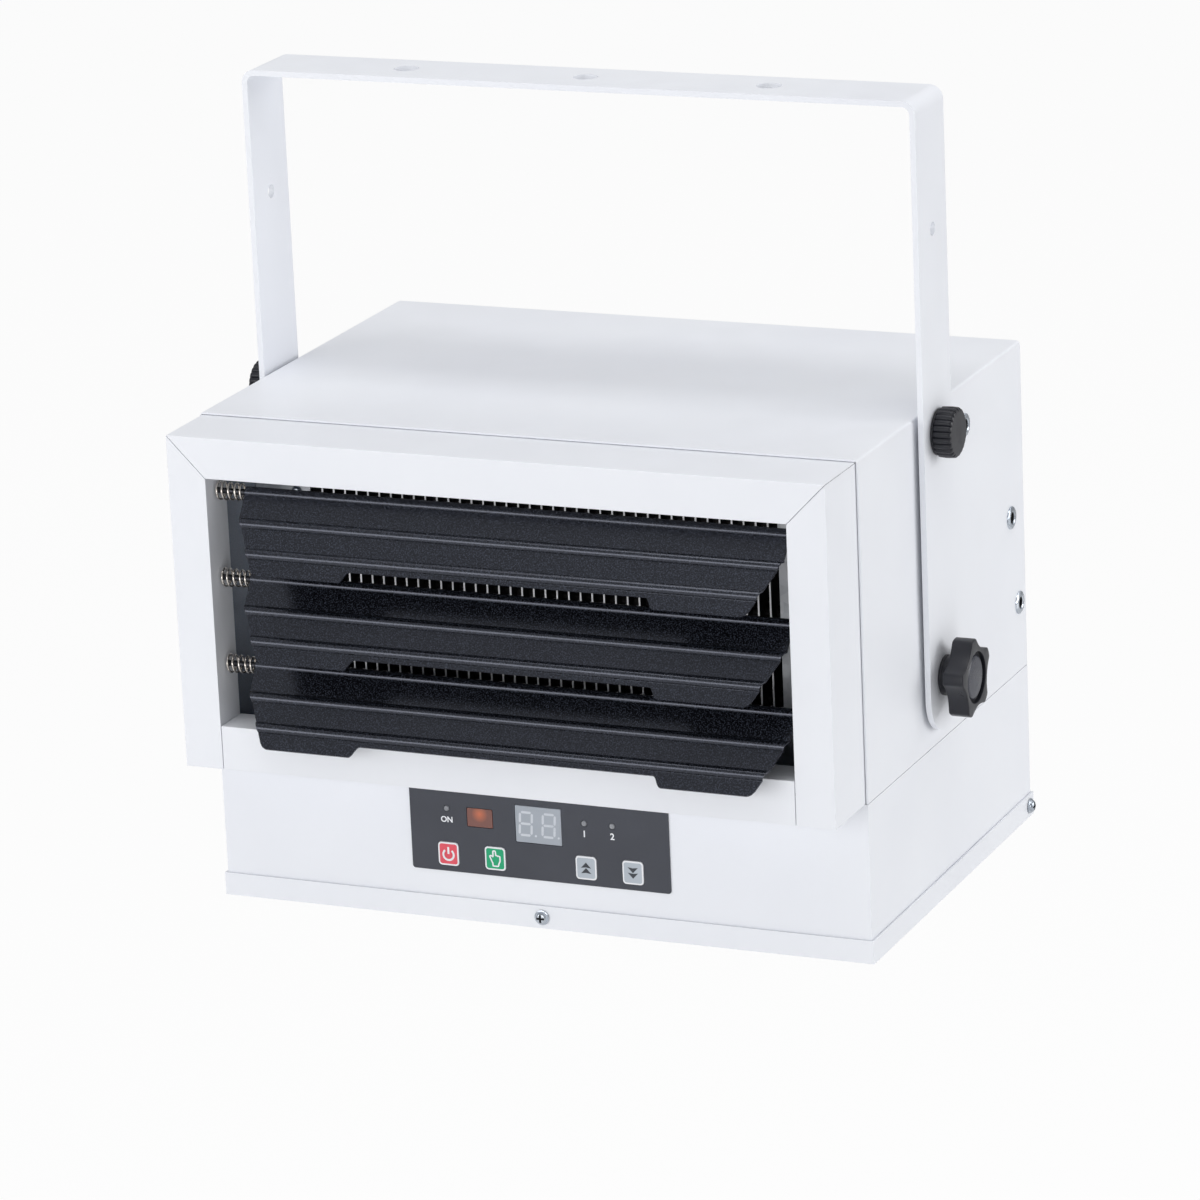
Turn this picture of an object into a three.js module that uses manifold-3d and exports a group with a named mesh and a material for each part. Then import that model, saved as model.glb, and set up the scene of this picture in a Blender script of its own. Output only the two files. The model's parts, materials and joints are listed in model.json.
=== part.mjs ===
// Ceiling mounted electric fan heater: a sheet-metal casing that tilts in a flat-bar ceiling bracket.
// Millimetres, +Z up, +X to the right, the air outlet faces -Y.
// The origin is the middle of the bracket's top face, where it meets the ceiling.
import * as THREE from "three";
import { mergeVertices } from "three/addons/utils/BufferGeometryUtils.js";
import Module from "manifold-3d";

const wasm = await Module();
wasm.setup();

// ---------------------------------------------------------------- driving dimensions

// Casing
const CASING_WIDTH = 356;
const CASING_DEPTH = 276; // from the front frame's face to the back
const FRAME_HEIGHT = 175.5; // front frame and upper cover
const LOWER_HEIGHT = 83; // lower housing and base tray
const SHEET = 1; // wall of every folded sheet part
const FIT = 0.3; // clearance between parts that seat in each other
const BEND = 2; // outer radius of the cover's folded corners

// Front frame
const FRAME_DEPTH = 40;
const STILE_WIDTH = 22;
const TOP_RAIL = 22.5;
const BOTTOM_RAIL = 23;
const RETURN_DEPTH = 22; // inward folded edge around the outlet
const TONGUE = 8; // length of frame that slides into the cover

// Base tray
const TRAY_LIP = 12;
const SCREW_HEAD = 8; // diameter
const SCREW_SHANK = 3.5; // diameter
const SCREW_INSET = 5; // side screws, forward of the casing's back

// Ceiling bracket
const BAR_WIDTH = 40;
const BAR_THICK = 3;
const BAR_BEND = 7; // outer radius
const BAR_DROP = 160; // from the bracket's top to the casing's top
const ARM_GAP = 2; // between an arm and the casing's side
const ARM_BELOW_PIVOT = 28;
const CEILING_HOLE = 13; // diameter
const CEILING_HOLE_PITCH = 99;
const ARM_HOLE = 7; // diameter
const ARM_HOLE_DROP = 68;

// Tilt pivot and its lock
const PIVOT_DOWN = 138.5; // below the casing's top
const LOCK_RADIUS = 127; // arc of threaded inserts around the pivot
const LOCK_INSET = 10.5; // last insert, forward of the casing's back
const LOCK_ANGLES = [0, 24, 67.5, 90]; // degrees back from straight up
const INSERT_FLANGE = [12.2, 1.2]; // diameter, thickness
const INSERT_BARREL = [9, 9]; // diameter, length
const INSERT_BORE = 6;
const PIVOT_STUD = 8; // diameter
const PIVOT_STUD_REACH = 10; // inside the casing
const LOCK_STUD = 6; // diameter
const WASHER_DIAMETER = 24;

// Knobs
const STAR_LOBES = 5;
const STAR_RADIUS = 20.5;
const STAR_SCALLOP = [37, 21.2]; // centre's distance from the axis and radius of the hollow between two lobes
const STAR_THICK = 11;
const STAR_TURN = -12; // degrees, of one hollow from straight back
const STAR_HUB = [10, 4.5]; // radius, length
const STAR_RECESS = [13.2, 2.4]; // radius, depth of the hollow in the front
const STAR_WASHER = [10.4, 1.5]; // radius, thickness
const LOCK_TEETH = 24;
const LOCK_KNOB = [13, 9.6]; // radius, thickness
const LOCK_TOOTH = 0.9; // height
const LOCK_CHAMFER = 1.6;
const LOCK_WASHER = [12, 1.2]; // radius, thickness

// Louvres
const LOUVRE_COUNT = 3;
const LOUVRE_TOP = 9; // first hinge below the outlet's top
const LOUVRE_FOOT = 30; // last hinge above the outlet's foot
const LOUVRE_BACK = 12; // hinges behind the front frame's face
const LOUVRE_CHORD = 44.6; // hinge to the tabs' edge
const LOUVRE_MIDDLE = 38.7; // hinge to the raised middle edge
const LOUVRE_TAPER_START = 14;
const LOUVRE_TAPER = 14.25; // taken off the lower edge at each end
const LOUVRE_TAB_INNER = 81; // half the raised middle's length
const LOUVRE_SHEET = 0.8;
const LOUVRE_OPEN = 38; // degrees forward from hanging straight down
const LOUVRE_END_GAP = 2; // between the blade and the right stile
const SPRING_ROOM = 17; // between the blade and the left stile
const BEAD_CENTRES = [17.3, 33.2];
const BEAD_WIDTH = 5;
const BEAD_CREST = 2.2;
const BEAD_HEIGHT = 2;
const ROD_DIAMETER = 3;
const SPRING_WIRE = 1.1; // diameter
const SPRING_RADII = [4.5, 3.4]; // of the wire's centre, at the wall and at the blade
const SPRING_TURNS = 5;

// Heating elements
const ELEMENT_FRONT = 61; // fins behind the front frame's face
const ELEMENT_DROP = 13.5; // tube below its louvre's hinge
const FIN_PITCH = 6;
const FIN_THICK = 0.5;
const FIN_SPACE = 3.5; // between one element's fins and the next one's
const FIN_DEPTH = 22;
const TUBE_RADIUS = 4;
const PIN_RADIUS = 1.5;
const PIN_LENGTH = 9;
const WINDOW_INSET = 28.5; // opening of the element frame, inside the outlet's end
const WINDOW_MARGIN = 9; // sheet left above and below the opening
const FIN_INSET = 7.5; // last fin inside the opening
const FLANGE_GAP = 3.5; // from the opening to the flanges that hold the tubes
const FLANGE_DEPTH = 26;
const TUBE_REACH = 6; // past the flange

// Heat chamber
const DUCT_GAP = 1.5; // between the stiles' inner returns and the duct
const DUCT_ABOVE = 11.5; // duct's roof above the outlet
const DUCT_BELOW = 14; // duct's floor below the outlet
const DUCT_START = 24;
const SHROUD_COLLAR = 12;

// Fan
const FAN_RADIUS = 70;
const FAN_TIP_GAP = 4;
const FAN_BLADES = 5;
const SHROUD_TO_FAN = 6;
const FAN_TO_MOTOR = 27; // from the fan's front to the motor's
const FAN_HUB = [22, 20]; // radius, length
const BLADE_THICK = 1.4;
const MOTOR = [32, 34]; // radius, length
const MOTOR_TO_BACK = 25; // from the motor to the casing's back
const SHAFT_RADIUS = 3;
const STRAP_WIDTH = 36;
const STRAP_MARGIN = 13; // from the air inlet to the strap's upright part
const STRAP_FOOT = 14;
const STRAP_THICK = 2;

// Rear panel and guard
const INLET_RADIUS = 74;
const PANEL_FLANGE = 12;
const GUARD_RINGS = 5;
const GUARD_PITCH = 15;
const GUARD_LAP = 6; // outer ring beyond the air inlet
const GUARD_REACH = 4; // spokes beyond the outer ring
const GUARD_STEP = 1.5; // rings behind the spokes' front
const GUARD_WIRE = 2.2;
const GUARD_SPOKES = 3; // bars right across
const GLAND_PLACE = [118, 40.5]; // across, above the tray's underside
const GLAND = { bore: 8, body: 16, nut: 24, length: 16 };

// Terminal block and relay on the tray's floor: inset is forward of the casing's back
const TERMINAL = { across: 78, inset: 41, width: 54, depth: 20, height: 12, barrier: 5, wall: 2, ways: 6 };
const RELAY = { across: -70, inset: 76, foot: [48, 28, 2], body: [30, 26, 30], coil: 8 };

// Control panel. A drop is below the panel's top edge and a rise above its lower edge.
const PANEL = { width: 142.6, height: 45, drop: 12.5, thick: 0.8, rim: 1.5 }; // drop below the frame
const BOARD = { back: 8, thick: 1.6, post: 3, margin: 6, lap: 2 };
const TRANSFORMER = { from: -20, to: 15, depth: 22, inset: 8 };
const SWITCH = { half: 3, proud: 1 };
const KEY = { width: 11.4, height: 12.4, rise: 9.3, travel: 0.6, radius: 2, lip: 1, proud: 0.2 };
const KEY_PLACES = { power_button: -50.8, mode_button: -24.8, up_button: 25.4, down_button: 51 };
const KEY_CLEARANCE = 0.25;
const DISPLAY = { width: 25.2, height: 19.4, across: 0, drop: 15.6 };
const RECEIVER = { width: 14, height: 9.8, across: -32.4, drop: 14.8 };
const LAMP = { radius: 1.5, proud: 0.5 };
const LAMP_PLACES = {
  power_lamp: [-50.8, 11.3],
  low_heat_lamp: [25.2, 12.1],
  high_heat_lamp: [40.5, 12.1],
}; // across, drop

// ---------------------------------------------------------------- derived places

const halfWidth = CASING_WIDTH / 2;
const pivotBack = CASING_DEPTH - LOCK_INSET - LOCK_RADIUS; // behind the front frame's face
const casingBottom = -(FRAME_HEIGHT + LOWER_HEIGHT);
const coverInside = halfWidth - SHEET;
const frameHalf = coverInside - FIT;
const frameTop = -(SHEET + FIT);
const frameBottom = -FRAME_HEIGHT;
const openingHalf = halfWidth - STILE_WIDTH;
const openingTop = -TOP_RAIL;
const openingBottom = -(FRAME_HEIGHT - BOTTOM_RAIL);
const coverFront = FRAME_DEPTH + FIT;
const armInner = halfWidth + ARM_GAP;
const armOuter = armInner + BAR_THICK;
const pivotZ = -(BAR_DROP + PIVOT_DOWN);
const armEnd = pivotZ - ARM_BELOW_PIVOT;
const chamberHalf = openingHalf + SHEET + DUCT_GAP;
const chamberTop = openingTop + DUCT_ABOVE;
const chamberBottom = openingBottom - DUCT_BELOW;
const motorStart = CASING_DEPTH - MOTOR_TO_BACK - MOTOR[1];
const fanStart = motorStart - FAN_TO_MOTOR;
const chamberEnd = fanStart - SHROUD_TO_FAN;
const fanZ = (chamberTop + chamberBottom) / 2;
const guardRings = Array.from({ length: GUARD_RINGS }, (_, i) => INLET_RADIUS + GUARD_LAP - i * GUARD_PITCH);
const strapHalf = INLET_RADIUS + STRAP_MARGIN;
const louvreRun = openingTop - openingBottom - LOUVRE_TOP - LOUVRE_FOOT;
const louvrePitch = louvreRun / Math.max(LOUVRE_COUNT - 1, 1);
const louvreZ = (i) => openingTop - LOUVRE_TOP - i * louvrePitch;
const curlInner = ROD_DIAMETER / 2 + FIT;
const curlMiddle = curlInner + LOUVRE_SHEET / 2;
const louvreRight = openingHalf - LOUVRE_END_GAP;
const louvreLeft = SPRING_ROOM - openingHalf;
const louvreLength = louvreRight - louvreLeft;
const finHeight = louvrePitch - FIN_SPACE;
const windowHalf = openingHalf - WINDOW_INSET;
const finCount = 2 * Math.floor((windowHalf - FIN_INSET) / FIN_PITCH) + 1;
const flangeAt = windowHalf + FLANGE_GAP;
const trayOuter = halfWidth + FIT + SHEET;
const trayFloor = casingBottom + SHEET;
const screwZ = casingBottom + TRAY_LIP / 2;
const glandPlace = [GLAND_PLACE[0], casingBottom + GLAND_PLACE[1]];
const panelTop = frameBottom - PANEL.drop;
const panelBottom = panelTop - PANEL.height;
const keyZ = panelBottom + KEY.rise;
const displayZ = panelTop - DISPLAY.drop;
const receiverZ = panelTop - RECEIVER.drop;
const boardFront = FRAME_DEPTH + SHEET + BOARD.back;
const radians = THREE.MathUtils.degToRad;

// ---------------------------------------------------------------- finishes

const look = (color, roughness, metalness) => new THREE.MeshStandardMaterial({ color, roughness, metalness });
const WHITE_PAINT = look(0xeef0f3, 0.45, 0.1);
const DARK_PAINT = look(0x3a3e46, 0.5, 0.4);
const BLACK_PLASTIC = look(0x2c2d31, 0.5, 0);
const ZINC = look(0xb9bec4, 0.35, 0.9);
const STEEL = look(0xd0d2d4, 0.25, 1);
const PANEL_FILM = look(0x484a52, 0.4, 0);
const GREY_PLASTIC = look(0xafb6bd, 0.45, 0);
const GREEN_PLASTIC = look(0x1f9c72, 0.45, 0);
const RED_PLASTIC = look(0xdc5a68, 0.45, 0);
const RED_WINDOW = look(0x78463c, 0.2, 0);
const BOARD_GREEN = look(0x2e5a3c, 0.6, 0);

// ---------------------------------------------------------------- solid helpers

// A closed three.js geometry as a solid, with faces of no area left out.
function solid(geometry) {
  const bare = geometry.index ? geometry.toNonIndexed() : geometry.clone();
  bare.deleteAttribute("normal");
  bare.deleteAttribute("uv");
  const merged = mergeVertices(bare, 1e-4);
  const kept = [];
  for (let i = 0; i < merged.index.count; i += 3) {
    const [a, b, c] = [0, 1, 2].map((k) => merged.index.getX(i + k));
    if (a !== b && b !== c && c !== a) kept.push(a, b, c);
  }
  const vertProperties = merged.attributes.position.array;
  return new wasm.Manifold(new wasm.Mesh({ numProp: 3, vertProperties, triVerts: new Uint32Array(kept) }));
}

const union = (...solids) => solids.reduce((all, next) => all.add(next));
const cut = (body, ...tools) => tools.reduce((left, tool) => left.subtract(tool), body);

const X = new THREE.Vector3(1, 0, 0);
const Y = new THREE.Vector3(0, 1, 0);
const Z = new THREE.Vector3(0, 0, 1);

// A sketch is drawn as seen along its axis: (y, z) for x, (x, z) for y and (x, y) for z.
const SKETCH = {
  x: new THREE.Matrix4().makeBasis(Y, Z, X),
  y: new THREE.Matrix4().makeBasis(X, Z, Y.clone().negate()),
  z: new THREE.Matrix4(),
};

function polygon(points) {
  return new THREE.Shape(points.map(([u, v]) => new THREE.Vector2(u, v)));
}

// A shape or list of points pushed along an axis, between two places on it.
function prism(outline, axis, from, to, curveSegments = 6) {
  const shape = outline instanceof THREE.Shape ? outline : polygon(outline);
  const geometry = new THREE.ExtrudeGeometry(shape, { depth: to - from, bevelEnabled: false, curveSegments });
  geometry.translate(0, 0, axis === "y" ? -to : from);
  return solid(geometry.applyMatrix4(SKETCH[axis]));
}

function block([x0, x1], [y0, y1], [z0, z1]) {
  const geometry = new THREE.BoxGeometry(x1 - x0, y1 - y0, z1 - z0);
  return solid(geometry.translate((x0 + x1) / 2, (y0 + y1) / 2, (z0 + z1) / 2));
}

function disc(radius, u = 0, v = 0, sides = 16) {
  return Array.from({ length: sides }, (_, i) => {
    const angle = (i / sides) * 2 * Math.PI;
    return [u + radius * Math.cos(angle), v + radius * Math.sin(angle)];
  });
}

// A round bar or cutter along an axis, at (u, v) in that axis's sketch.
function bar(radius, axis, from, to, u = 0, v = 0, sides = 16) {
  return prism(disc(radius, u, v, sides), axis, from, to);
}

function roundedRectangle(width, height, radius, u = 0, v = 0) {
  const shape = new THREE.Shape();
  const [w, h] = [width / 2 - radius, height / 2 - radius];
  shape.absarc(u + w, v + h, radius, 0, Math.PI / 2);
  shape.absarc(u - w, v + h, radius, Math.PI / 2, Math.PI);
  shape.absarc(u - w, v - h, radius, Math.PI, Math.PI * 1.5);
  shape.absarc(u + w, v - h, radius, Math.PI * 1.5, Math.PI * 2);
  return shape;
}

const TURN = {
  x: new THREE.Matrix4().makeBasis(Z, X, Y),
  y: new THREE.Matrix4(),
  z: new THREE.Matrix4().makeBasis(Y, Z, X),
};

// A profile of [radius, place along the axis] turned round the axis. It runs up the outside.
function turned(profile, axis, segments = 16) {
  const points = profile.map(([radius, along]) => new THREE.Vector2(radius, along));
  return solid(new THREE.LatheGeometry(points, segments).applyMatrix4(TURN[axis]));
}

// A closed skin over rings of points, each ring seen anticlockwise from the last ring's side.
function loft(rings) {
  const count = rings[0].length;
  const centre = (ring) => ring.reduce((sum, p) => sum.clone().add(p)).multiplyScalar(1 / count);
  const positions = [];
  const face = (...corners) => corners.forEach((p) => positions.push(p.x, p.y, p.z));
  for (let i = 0; i < count; i++) {
    const j = (i + 1) % count;
    for (let k = 0; k + 1 < rings.length; k++) {
      const [low, high] = [rings[k], rings[k + 1]];
      face(low[i], low[j], high[j]);
      face(low[i], high[j], high[i]);
    }
    face(centre(rings[0]), rings[0][j], rings[0][i]);
    face(centre(rings.at(-1)), rings.at(-1)[i], rings.at(-1)[j]);
  }
  const geometry = new THREE.BufferGeometry();
  return solid(geometry.setAttribute("position", new THREE.Float32BufferAttribute(positions, 3)));
}

// The outline of a strip of sheet whose middle line is given, as one closed polygon.
function strip(middle, thickness) {
  const sides = [[], []];
  middle.forEach((point, i) => {
    const before = middle[Math.max(i - 1, 0)];
    const after = middle[Math.min(i + 1, middle.length - 1)];
    const into = new THREE.Vector2(point[0] - before[0], point[1] - before[1]).normalize();
    const out = new THREE.Vector2(after[0] - point[0], after[1] - point[1]).normalize();
    if (i === 0) into.copy(out);
    if (i === middle.length - 1) out.copy(into);
    const along = into.clone().add(out).normalize();
    const reach = thickness / 2 / along.dot(into);
    sides[0].push([point[0] - along.y * reach, point[1] + along.x * reach]);
    sides[1].unshift([point[0] + along.y * reach, point[1] - along.x * reach]);
  });
  return [...sides[0], ...sides[1]];
}

// A folded channel's section between two places, open at the bottom, as one polygon.
function archway(outerHalf, top, bottom, thick) {
  const innerHalf = outerHalf - thick;
  return [
    [-outerHalf, bottom],
    [-outerHalf, top - BEND],
    [-outerHalf + BEND * 0.3, top - BEND * 0.3],
    [-outerHalf + BEND, top],
    [outerHalf - BEND, top],
    [outerHalf - BEND * 0.3, top - BEND * 0.3],
    [outerHalf, top - BEND],
    [outerHalf, bottom],
    [innerHalf, bottom],
    [innerHalf, top - thick],
    [-innerHalf, top - thick],
    [-innerHalf, bottom],
  ];
}

// ---------------------------------------------------------------- scene graph

const root = new THREE.Group();
const heater = new THREE.Group(); // measured from the frame's face and the casing's top
heater.position.set(0, -pivotBack, -BAR_DROP);
root.add(heater);

function add(group, name, body, finish, place = [0, 0, 0], turn = [0, 0, 0]) {
  const made = body.getMesh();
  const geometry = new THREE.BufferGeometry();
  geometry.setAttribute("position", new THREE.BufferAttribute(made.vertProperties, 3));
  geometry.setIndex(new THREE.BufferAttribute(made.triVerts, 1));
  geometry.computeVertexNormals();
  const mesh = new THREE.Mesh(geometry, finish);
  mesh.name = name;
  mesh.position.set(...place);
  mesh.rotation.set(...turn);
  group.add(mesh);
}

// Both sides of the heater: the left one is the right one turned half round about +Z.
const SIDES = [
  { name: "right", sign: 1, turn: [0, 0, 0] },
  { name: "left", sign: -1, turn: [0, 0, Math.PI] },
];

// ---------------------------------------------------------------- ceiling bracket

// One flat bar folded into a U, its arms ending in half circles.
function ceilingBracket() {
  const corner = armOuter - BAR_BEND;
  const inside = BAR_BEND - BAR_THICK;
  const fold = new THREE.Shape();
  fold.moveTo(-armOuter, armEnd);
  fold.lineTo(-armOuter, -BAR_BEND);
  fold.absarc(-corner, -BAR_BEND, BAR_BEND, Math.PI, Math.PI / 2, true);
  fold.absarc(corner, -BAR_BEND, BAR_BEND, Math.PI / 2, 0, true);
  fold.lineTo(armOuter, armEnd);
  fold.lineTo(armInner, armEnd);
  fold.absarc(corner, -BAR_BEND, inside, 0, Math.PI / 2);
  fold.absarc(-corner, -BAR_BEND, inside, Math.PI / 2, Math.PI);
  fold.lineTo(-armInner, armEnd);

  const endRadius = BAR_WIDTH / 2;
  const side = new THREE.Shape();
  side.moveTo(-endRadius, BAR_THICK);
  side.lineTo(-endRadius, armEnd + endRadius);
  side.absarc(0, armEnd + endRadius, endRadius, Math.PI, 2 * Math.PI);
  side.lineTo(endRadius, BAR_THICK);

  const across = prism(fold, "y", -endRadius, endRadius, 3);
  const profile = prism(side, "x", -armOuter - 1, armOuter + 1, 8);
  const ceilingHoles = [-1, 0, 1].map((i) =>
    bar(CEILING_HOLE / 2, "z", -BAR_THICK - 1, 1, i * CEILING_HOLE_PITCH, 0),
  );
  const armHole = (diameter, z) => bar(diameter / 2, "x", -armOuter - 1, armOuter + 1, 0, z, 12);
  return cut(
    across.intersect(profile),
    ...ceilingHoles,
    armHole(ARM_HOLE, -ARM_HOLE_DROP),
    armHole(LOCK_STUD + 2 * FIT, pivotZ + LOCK_RADIUS),
    armHole(PIVOT_STUD + 2 * FIT, pivotZ),
  );
}

// A ring of points round the X axis, with the radius given for each angle.
function ringAcross(x, count, radiusAt) {
  return Array.from({ length: count }, (_, i) => {
    const angle = (i / count) * 2 * Math.PI;
    const radius = typeof radiusAt === "function" ? radiusAt(angle, i) : radiusAt;
    return new THREE.Vector3(x, radius * Math.cos(angle), radius * Math.sin(angle));
  });
}

// Clamping knob with five blunt lobes, a hollow front, a washer and a threaded stud. Its seat is x = 0.
function starKnob() {
  const count = STAR_LOBES * 8;
  const [away, hollow] = STAR_SCALLOP;
  const outline = (inset) => (angle, i) => {
    const fromHollow = (((i + 4) % 8) - 4) * ((2 * Math.PI) / count);
    const across = away * Math.sin(fromHollow);
    const reach = Math.abs(across) < hollow ? Math.sqrt(hollow * hollow - across * across) : 0;
    return Math.min(STAR_RADIUS, away * Math.cos(fromHollow) - reach) - inset;
  };
  const studEnd = -(BAR_THICK + ARM_GAP + SHEET + PIVOT_STUD_REACH);
  const hubFace = FIT + STAR_WASHER[1];
  const back = hubFace + STAR_HUB[1];
  const front = back + STAR_THICK;
  const star = loft([
    ringAcross(back, count, outline(0)),
    ringAcross(front - 1, count, outline(0)),
    ringAcross(front, count, outline(1)),
  ]);
  const recess = bar(STAR_RECESS[0], "x", front - STAR_RECESS[1], front + 1, 0, 0, 24);
  const core = turned(
    [
      [0, studEnd],
      [PIVOT_STUD / 2, studEnd],
      [PIVOT_STUD / 2, FIT],
      [STAR_WASHER[0], FIT],
      [STAR_WASHER[0], hubFace],
      [STAR_HUB[0], hubFace],
      [STAR_HUB[0], back + 1],
      [0, back + 1],
    ],
    "x",
    20,
  );
  return union(star.subtract(recess), core);
}

// Thumb knob with a knurled rim, a washer and a short stud that reaches an insert.
function lockKnob() {
  const count = LOCK_TEETH * 2;
  const knurl = (inset) => (angle, i) => LOCK_KNOB[0] - inset - (i % 2) * LOCK_TOOTH;
  const studEnd = -(BAR_THICK + ARM_GAP - INSERT_FLANGE[1] - FIT);
  const washerFace = FIT + LOCK_WASHER[1];
  const front = washerFace + LOCK_KNOB[1];
  const grip = loft([
    ringAcross(washerFace, count, knurl(0)),
    ringAcross(front - LOCK_CHAMFER, count, knurl(0)),
    ringAcross(front, count, knurl(LOCK_CHAMFER)),
  ]);
  const core = turned(
    [
      [0, studEnd],
      [LOCK_STUD / 2, studEnd],
      [LOCK_STUD / 2, FIT],
      [LOCK_WASHER[0], FIT],
      [LOCK_WASHER[0], washerFace],
      [0, washerFace],
    ],
    "x",
  );
  return union(grip, core);
}

// Spacer between an arm and the casing's side. It fills the gap but for its clearances.
function pivotWasher() {
  const [inner, outer] = [PIVOT_STUD / 2 + FIT, WASHER_DIAMETER / 2];
  const [low, high] = [FIT, ARM_GAP - FIT];
  return turned([[inner, low], [outer, low], [outer, high], [inner, high], [inner, low]], "x", 20);
}

// Threaded insert in the casing's side: a flange outside and a barrel inside, bored right through.
function lockInsert() {
  const [flange, thick] = [INSERT_FLANGE[0] / 2, INSERT_FLANGE[1]];
  const [barrel, length] = [INSERT_BARREL[0] / 2 - FIT, INSERT_BARREL[1]];
  const bore = INSERT_BORE / 2;
  const profile = [
    [bore, -length],
    [barrel, -length],
    [barrel, 0],
    [flange, 0],
    [flange, thick],
    [bore, thick],
    [bore, -length],
  ];
  return turned(profile, "x", 10);
}

function insertPlace(angle) {
  const turn = radians(angle);
  return [pivotBack + LOCK_RADIUS * Math.sin(turn), -PIVOT_DOWN + LOCK_RADIUS * Math.cos(turn)];
}

function addBracketAndPivots() {
  add(root, "ceiling_bracket", ceilingBracket(), WHITE_PAINT);
  for (const { name, sign, turn } of SIDES) {
    const [star, lock, washer, insert] = [starKnob(), lockKnob(), pivotWasher(), lockInsert()];
    const starTurn = [radians(STAR_TURN), 0, turn[2]];
    add(root, `${name}_star_knob`, star, BLACK_PLASTIC, [sign * armOuter, 0, pivotZ], starTurn);
    add(root, `${name}_lock_knob`, lock, BLACK_PLASTIC, [sign * armOuter, 0, pivotZ + LOCK_RADIUS], turn);
    add(root, `${name}_pivot_washer`, washer, ZINC, [sign * halfWidth, 0, pivotZ], turn);
    LOCK_ANGLES.forEach((angle, i) => {
      const [y, z] = insertPlace(angle);
      add(heater, `${name}_insert_${i + 1}`, insert, ZINC, [sign * halfWidth, y, z], turn);
    });
  }
}

// ---------------------------------------------------------------- casing

// Top and sides folded from one sheet, with holes for the pivots and the inserts.
function upperCover() {
  const shell = prism(archway(halfWidth, 0, frameBottom, SHEET), "y", coverFront, CASING_DEPTH);
  const sideHole = (radius, y, z) => bar(radius, "x", -halfWidth - 1, halfWidth + 1, y, z, 12);
  const inserts = LOCK_ANGLES.map((angle) => sideHole(INSERT_BARREL[0] / 2, ...insertPlace(angle)));
  return cut(shell, ...inserts, sideHole(PIVOT_STUD / 2 + FIT, pivotBack, -PIVOT_DOWN));
}

// Cutters for the three screws that hold the base tray: one through the front, one through each side.
function baseScrewBores() {
  const hole = SCREW_SHANK / 2 + FIT;
  const front = bar(hole, "y", FRAME_DEPTH - 3, FRAME_DEPTH + 3, 0, screwZ, 10);
  const sides = bar(hole, "x", -trayOuter - 1, trayOuter + 1, CASING_DEPTH - SCREW_INSET, screwZ, 10);
  return [front, sides];
}

// Back plate with a rolled air inlet, the cable gland's hole and forward flanges, notched for two inserts.
function rearPanel() {
  const half = coverInside - FIT;
  const [low, high] = [trayFloor + FIT, -(SHEET + FIT)];
  const face = CASING_DEPTH - SHEET;
  const front = CASING_DEPTH - PANEL_FLANGE;
  const body = block([-half, half], [front, CASING_DEPTH], [low, high]);
  const pocket = block([-half + SHEET, half - SHEET], [front - 1, face], [low + SHEET, high - SHEET]);
  const collar = bar(INLET_RADIUS + SHEET, "y", face - SHEET * 4, face, 0, fanZ, 40);
  const inlet = bar(INLET_RADIUS, "y", front, CASING_DEPTH + 1, 0, fanZ, 40);
  const glandHole = bar(GLAND.body / 2 + FIT, "y", face - 1, CASING_DEPTH + 1, ...glandPlace);
  const lastInsert = insertPlace(LOCK_ANGLES.at(-1));
  const notches = bar(INSERT_BARREL[0] / 2, "x", -halfWidth, halfWidth, ...lastInsert, 12);
  return cut(union(body.subtract(pocket), collar), inlet, glandHole, notches, ...baseScrewBores());
}

// Section of a frame member: face, deep outer return and shorter inner return, in (across, depth).
function memberSection(outer, inner, depth) {
  const wall = Math.sign(inner - outer) * SHEET;
  return [
    [outer, depth],
    [outer, 0],
    [inner, 0],
    [inner, RETURN_DEPTH],
    [inner - wall, RETURN_DEPTH],
    [inner - wall, SHEET],
    [outer + wall, SHEET],
    [outer + wall, depth],
  ];
}

const swap = (points) => points.map(([u, v]) => [v, u]);

// Top rail, cut to the mitre lines that run from the outer to the inner corners.
function frameTopRail() {
  const section = swap(memberSection(frameTop, openingTop, FRAME_DEPTH + TONGUE));
  const rail = prism(section, "x", -frameHalf, frameHalf);
  const mitre = [
    [-frameHalf, frameTop],
    [-openingHalf, openingTop],
    [openingHalf, openingTop],
    [frameHalf, frameTop],
  ];
  return rail.intersect(prism(mitre, "y", -1, FRAME_DEPTH + TONGUE + 1));
}

// Side stile, mitred at the top and closed at the foot, with bores for the louvre rods.
function frameStile(sign) {
  const section = memberSection(sign * frameHalf, sign * openingHalf, FRAME_DEPTH + TONGUE);
  const member = prism(section, "z", frameBottom, frameTop);
  const mitre = [
    [sign * frameHalf, frameTop - FIT],
    [sign * openingHalf, openingTop - FIT],
    [sign * openingHalf, frameBottom],
    [sign * frameHalf, frameBottom],
  ];
  const foot = block(
    [openingHalf, frameHalf].map((x) => sign * x).sort((a, b) => a - b),
    [0, FRAME_DEPTH],
    [frameBottom, frameBottom + SHEET],
  );
  const whole = union(member, foot).intersect(prism(mitre, "y", -1, FRAME_DEPTH + TONGUE + 1));
  const [from, to] = [openingHalf - 1, openingHalf + SHEET + 1].map((x) => sign * x).sort((a, b) => a - b);
  const bores = Array.from({ length: LOUVRE_COUNT }, (_, i) =>
    bar(ROD_DIAMETER / 2 + FIT, "x", from, to, LOUVRE_BACK, louvreZ(i), 12),
  );
  return cut(whole, ...bores);
}

function frameBottomRail() {
  const section = swap(memberSection(frameBottom, openingBottom, FRAME_DEPTH));
  return prism(section, "x", -openingHalf + FIT, openingHalf - FIT);
}

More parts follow.
